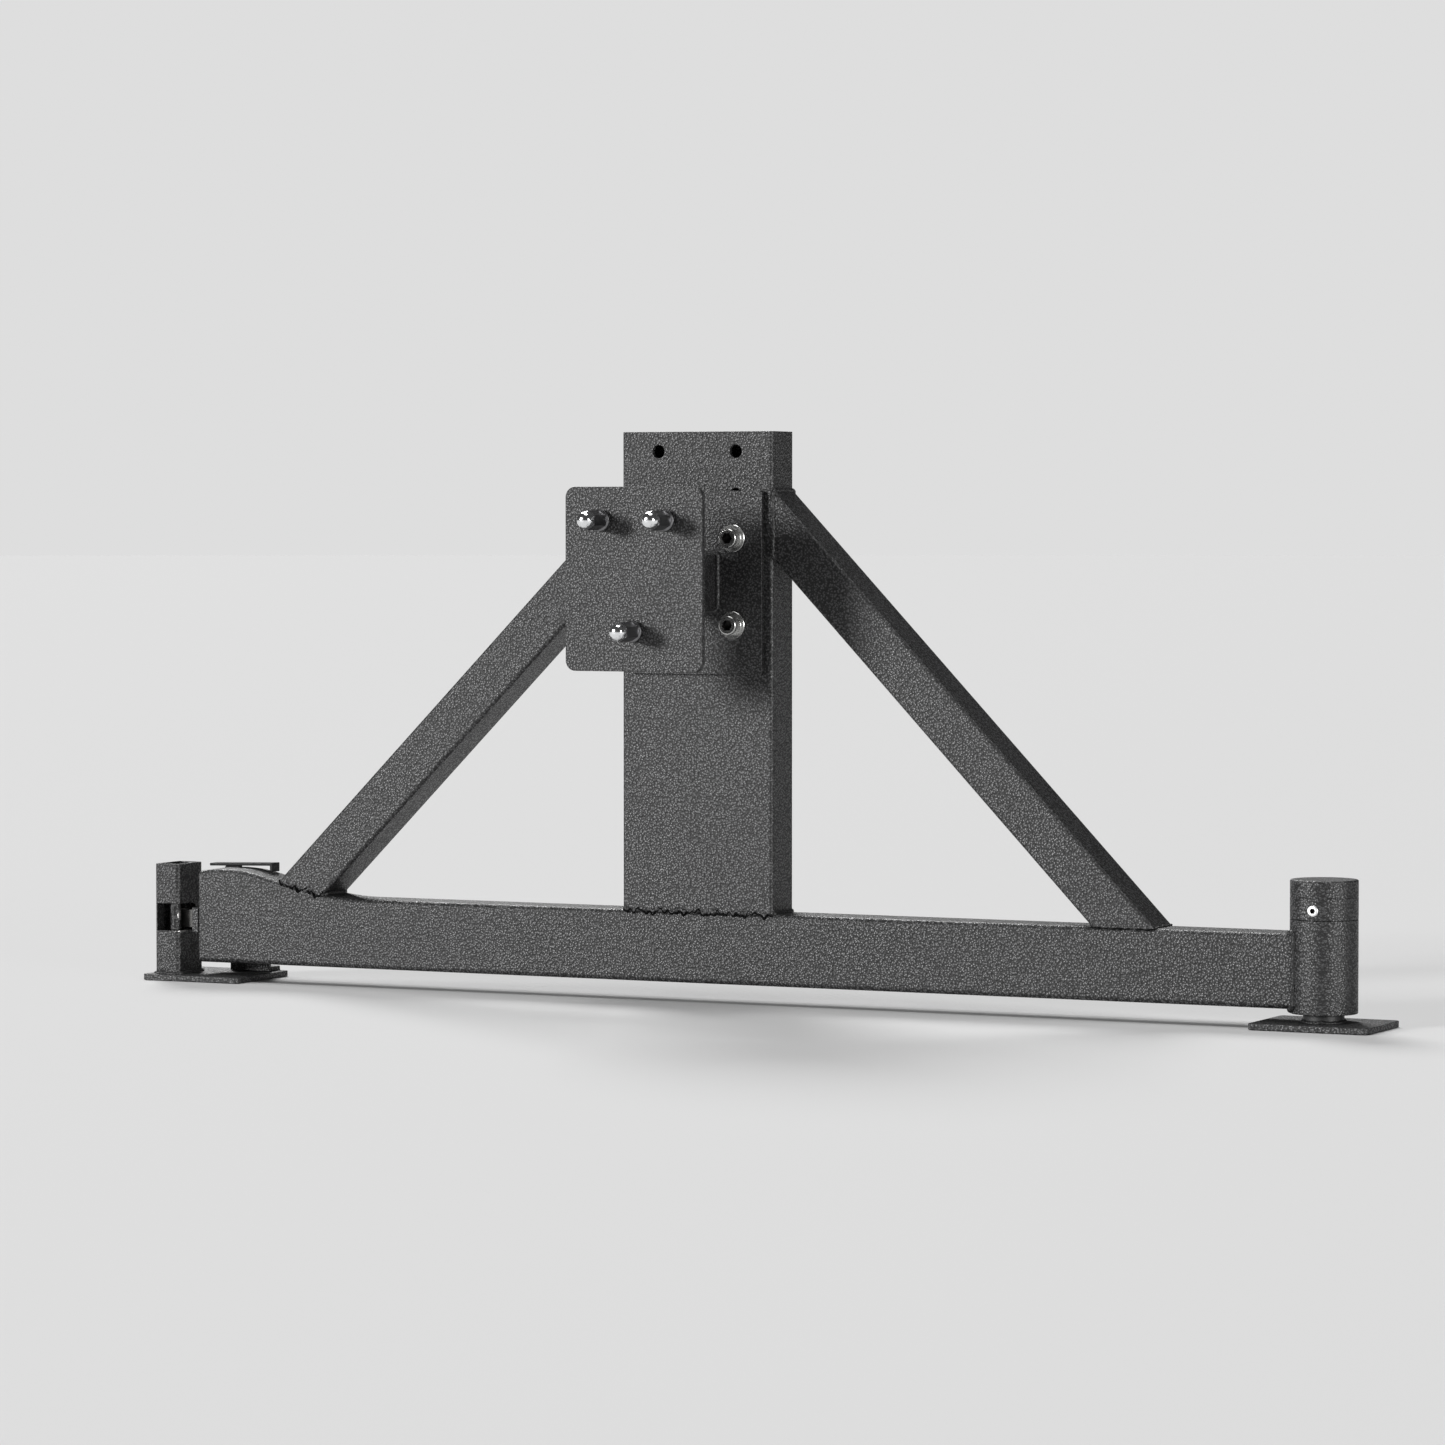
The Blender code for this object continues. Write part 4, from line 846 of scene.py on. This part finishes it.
# The bolt: a machined bar with a bevelled nose that slams past the keeper, a tall middle that the crank
# works in and that stops on the end plate, and a turned rod for the spring. It is black zinc plated and
# greased.
BOLT = metal("greased_black_zinc", (0.075, 0.074, 0.072), 0.36, 0.16)
nose = smooth_outline(np.array([(-1354, -20.3), (-1272, -20.3), (-1272, -8.3), (-1340, -8.3),
                                (-1354, -17.3)]) * MM, 0.8 * MM)
block = round_corners(17.75 * MM, 6 * MM, 1.0 * MM)
crank_pocket = round_corners(7.9 * MM, 3 * MM, 0.5 * MM, 4)
rod_profile = np.array([(3.5, -1276), (3.5, -1223), (2.5, -1222)]) * MM
solid("latch_bolt_machined", slab(nose, 57.5 * MM, 77.5 * MM, "z", edge=0.6 * MM), BOLT, "latch_bolt",
      ["latch_bolt"],
      [("UNION", slab(block, 53 * MM, 81 * MM, "z", (-1289.75 * MM, ROD_Y), edge=0.6 * MM)),
       ("UNION", turned(rod_profile, "x", (ROD_Y, ROD_Z), 40)),
       ("DIFFERENCE", slab(crank_pocket, 40 * MM, 90 * MM, "z", (PIVOT[0] + 7.9 * MM, ROD_Y),
                           edge=0.1 * MM))])

# The catch: a base plate like the hinge's, a 1 1/4 x 2 inch tube with a notch cut into its front and side
# that the bolt slides into, and a round bar across the notch's mouth that keeps it. Bare steel on the
# notch's lower lip and on the bar stands both for wear where the bolt rubs and for glints: painted
# highlights.
def bare_glinting_coat(name, centre, reach, edge):
    """COATED's coat, with bare steel where something rubs, placed also to give glints: painted highlights.
    mask
    = edge (1 - |(place - centre) / reach| + noise), held between 0 and 1, so that the bare patches have
    ragged rims. The coat's colour is painted paler on its pebbles' tops and darker between them: painted
    highlight and shade."""
    look = Finish(name)
    place = look.node("ShaderNodeTexCoord", {}, {}, "Object")
    away = look.node("ShaderNodeMapping", {}, {"Vector": place, "Scale": [1 / size for size in reach],
                                               "Location": [-at / size for at, size in zip(centre, reach)]})
    far = look.node("ShaderNodeVectorMath", {"operation": "LENGTH"}, {0: away}, "Value")
    grain = look.node("ShaderNodeTexNoise", {}, {"Vector": place, "Scale": PEBBLES, "Detail": 3.0})
    bare = ((1 - far + (grain - 0.5) * 1.3) * edge).held()
    pebble = look.node("ShaderNodeTexVoronoi", {"feature": "F1"}, {"Vector": place, "Scale": PEBBLES},
                       "Distance")
    height = 1.17 - 1.3 * pebble
    high = ((height - 0.60) * 4.2 + 0.40).held()
    tone = look.blend(high, (0.0015, 0.0015, 0.0016, 1), (0.07, 0.07, 0.072, 1))
    look.feed(look.shader, {"Base Color": look.blend(bare, tone, (0.62, 0.61, 0.60, 1)), "Metallic": bare,
                            "Roughness": (0.49 - 0.15 * high) * (1 - bare) + 0.28 * bare,
                            "Specular IOR Level": 0.5,
                            "Normal": look.node("ShaderNodeBump", {},
                                                {"Strength": 1.0, "Distance": 0.5 * MM,
                                                 "Height": height * (1 - bare)})})
    return look.material


# A bare line on the notch's lower lip and a bare spot on the keeper's bar: wear, and painted glints.
NOTCHED = bare_glinting_coat("coat_bare_and_glinting_at_the_notch", (-1331 * MM, -32 * MM, 55.5 * MM),
                 (14 * MM, 12 * MM, 3.0 * MM), 2.2)
KEEPER = bare_glinting_coat("coat_bare_and_glinting_on_the_keeper", (-1334 * MM, -30 * MM, 72 * MM), (2.6 * MM, 4 * MM, 6 * MM),
                2.6)
solid("catch_base_plate", slab(round_corners(62 * MM, 56 * MM, 6 * MM), 0, PLATE, "z", (-1308 * MM, 4 * MM),
                               edge=0.7 * MM), COATED, "vehicle_side", ["catch_base"])
CATCH_X, CATCH_Y, CATCH_HALF = -1344.4 * MM, -15 * MM, 16 * MM
notch_turn = np.radians(np.linspace(-90, 90, 33))
notch_outline = np.vstack([np.column_stack([-16 * MM + 15.25 * MM * np.cos(notch_turn),
                                            69.85 * MM + 15.25 * MM * np.sin(notch_turn)]),
                           np.array([(-50, 85.1), (-50, 54.6)]) * MM])
solid("catch_post_notched",
      tube_shape(CATCH_HALF, HALF, 5 * MM, 3.6 * MM, 6.65 * MM, 129 * MM, "z", (CATCH_X, CATCH_Y)), NOTCHED,
      "vehicle_side", ["catch_post"],
      [("DIFFERENCE", skin(stood([(notch_outline, -1356.8 * MM), (notch_outline, -1320 * MM)], "x")))])
solid("keeper_bar", turned([(5.2 * MM, 54.9 * MM), (5.75 * MM, 55.4 * MM), (5.75 * MM, 84.3 * MM),
                            (5.2 * MM, 84.8 * MM)], "z", (-1340 * MM, -28.6 * MM), 48), KEEPER,
      "vehicle_side", ["keeper_pin"])
catch_foot = round_corners(CATCH_HALF, HALF, 5 * MM) + (CATCH_X, CATCH_Y)
weld("catch_foot_weld", np.column_stack([catch_foot, np.full(len(catch_foot), 6.7 * MM)]), (0, 0, 1),
     2.6 * MM, 51, "vehicle_side")

# The stop behind the beam's end: a bent steel bracket welded to the catch's plate, with a moulded rubber
# pad that the closed beam rests against.
bracket = smooth_outline(np.array([(31.4, 6.65), (56, 6.65), (56, 11.65), (36.4, 11.65), (36.4, 80),
                                   (31.4, 80)]) * MM, 1 * MM)
solid("stop_bracket", slab(bracket, -1256 * MM, -1306 * MM, "x", edge=0.5 * MM), COATED, "vehicle_side",
      ["stop_angle"])
solid("stop_bump_pad", slab(round_corners(22 * MM, 18 * MM, 3 * MM), 31.1 * MM, 25.7 * MM, "y",
                            (-1281 * MM, 60 * MM), edge=1.2 * MM), RUBBER.material, "vehicle_side",
      ["stop_pad"])
weld("stop_foot_weld", np.array([(-1306, 56, 6.9), (-1256, 56, 6.9)]) * MM, (0, 0, 1), 2.4 * MM, 61,
     "vehicle_side", loop=False)
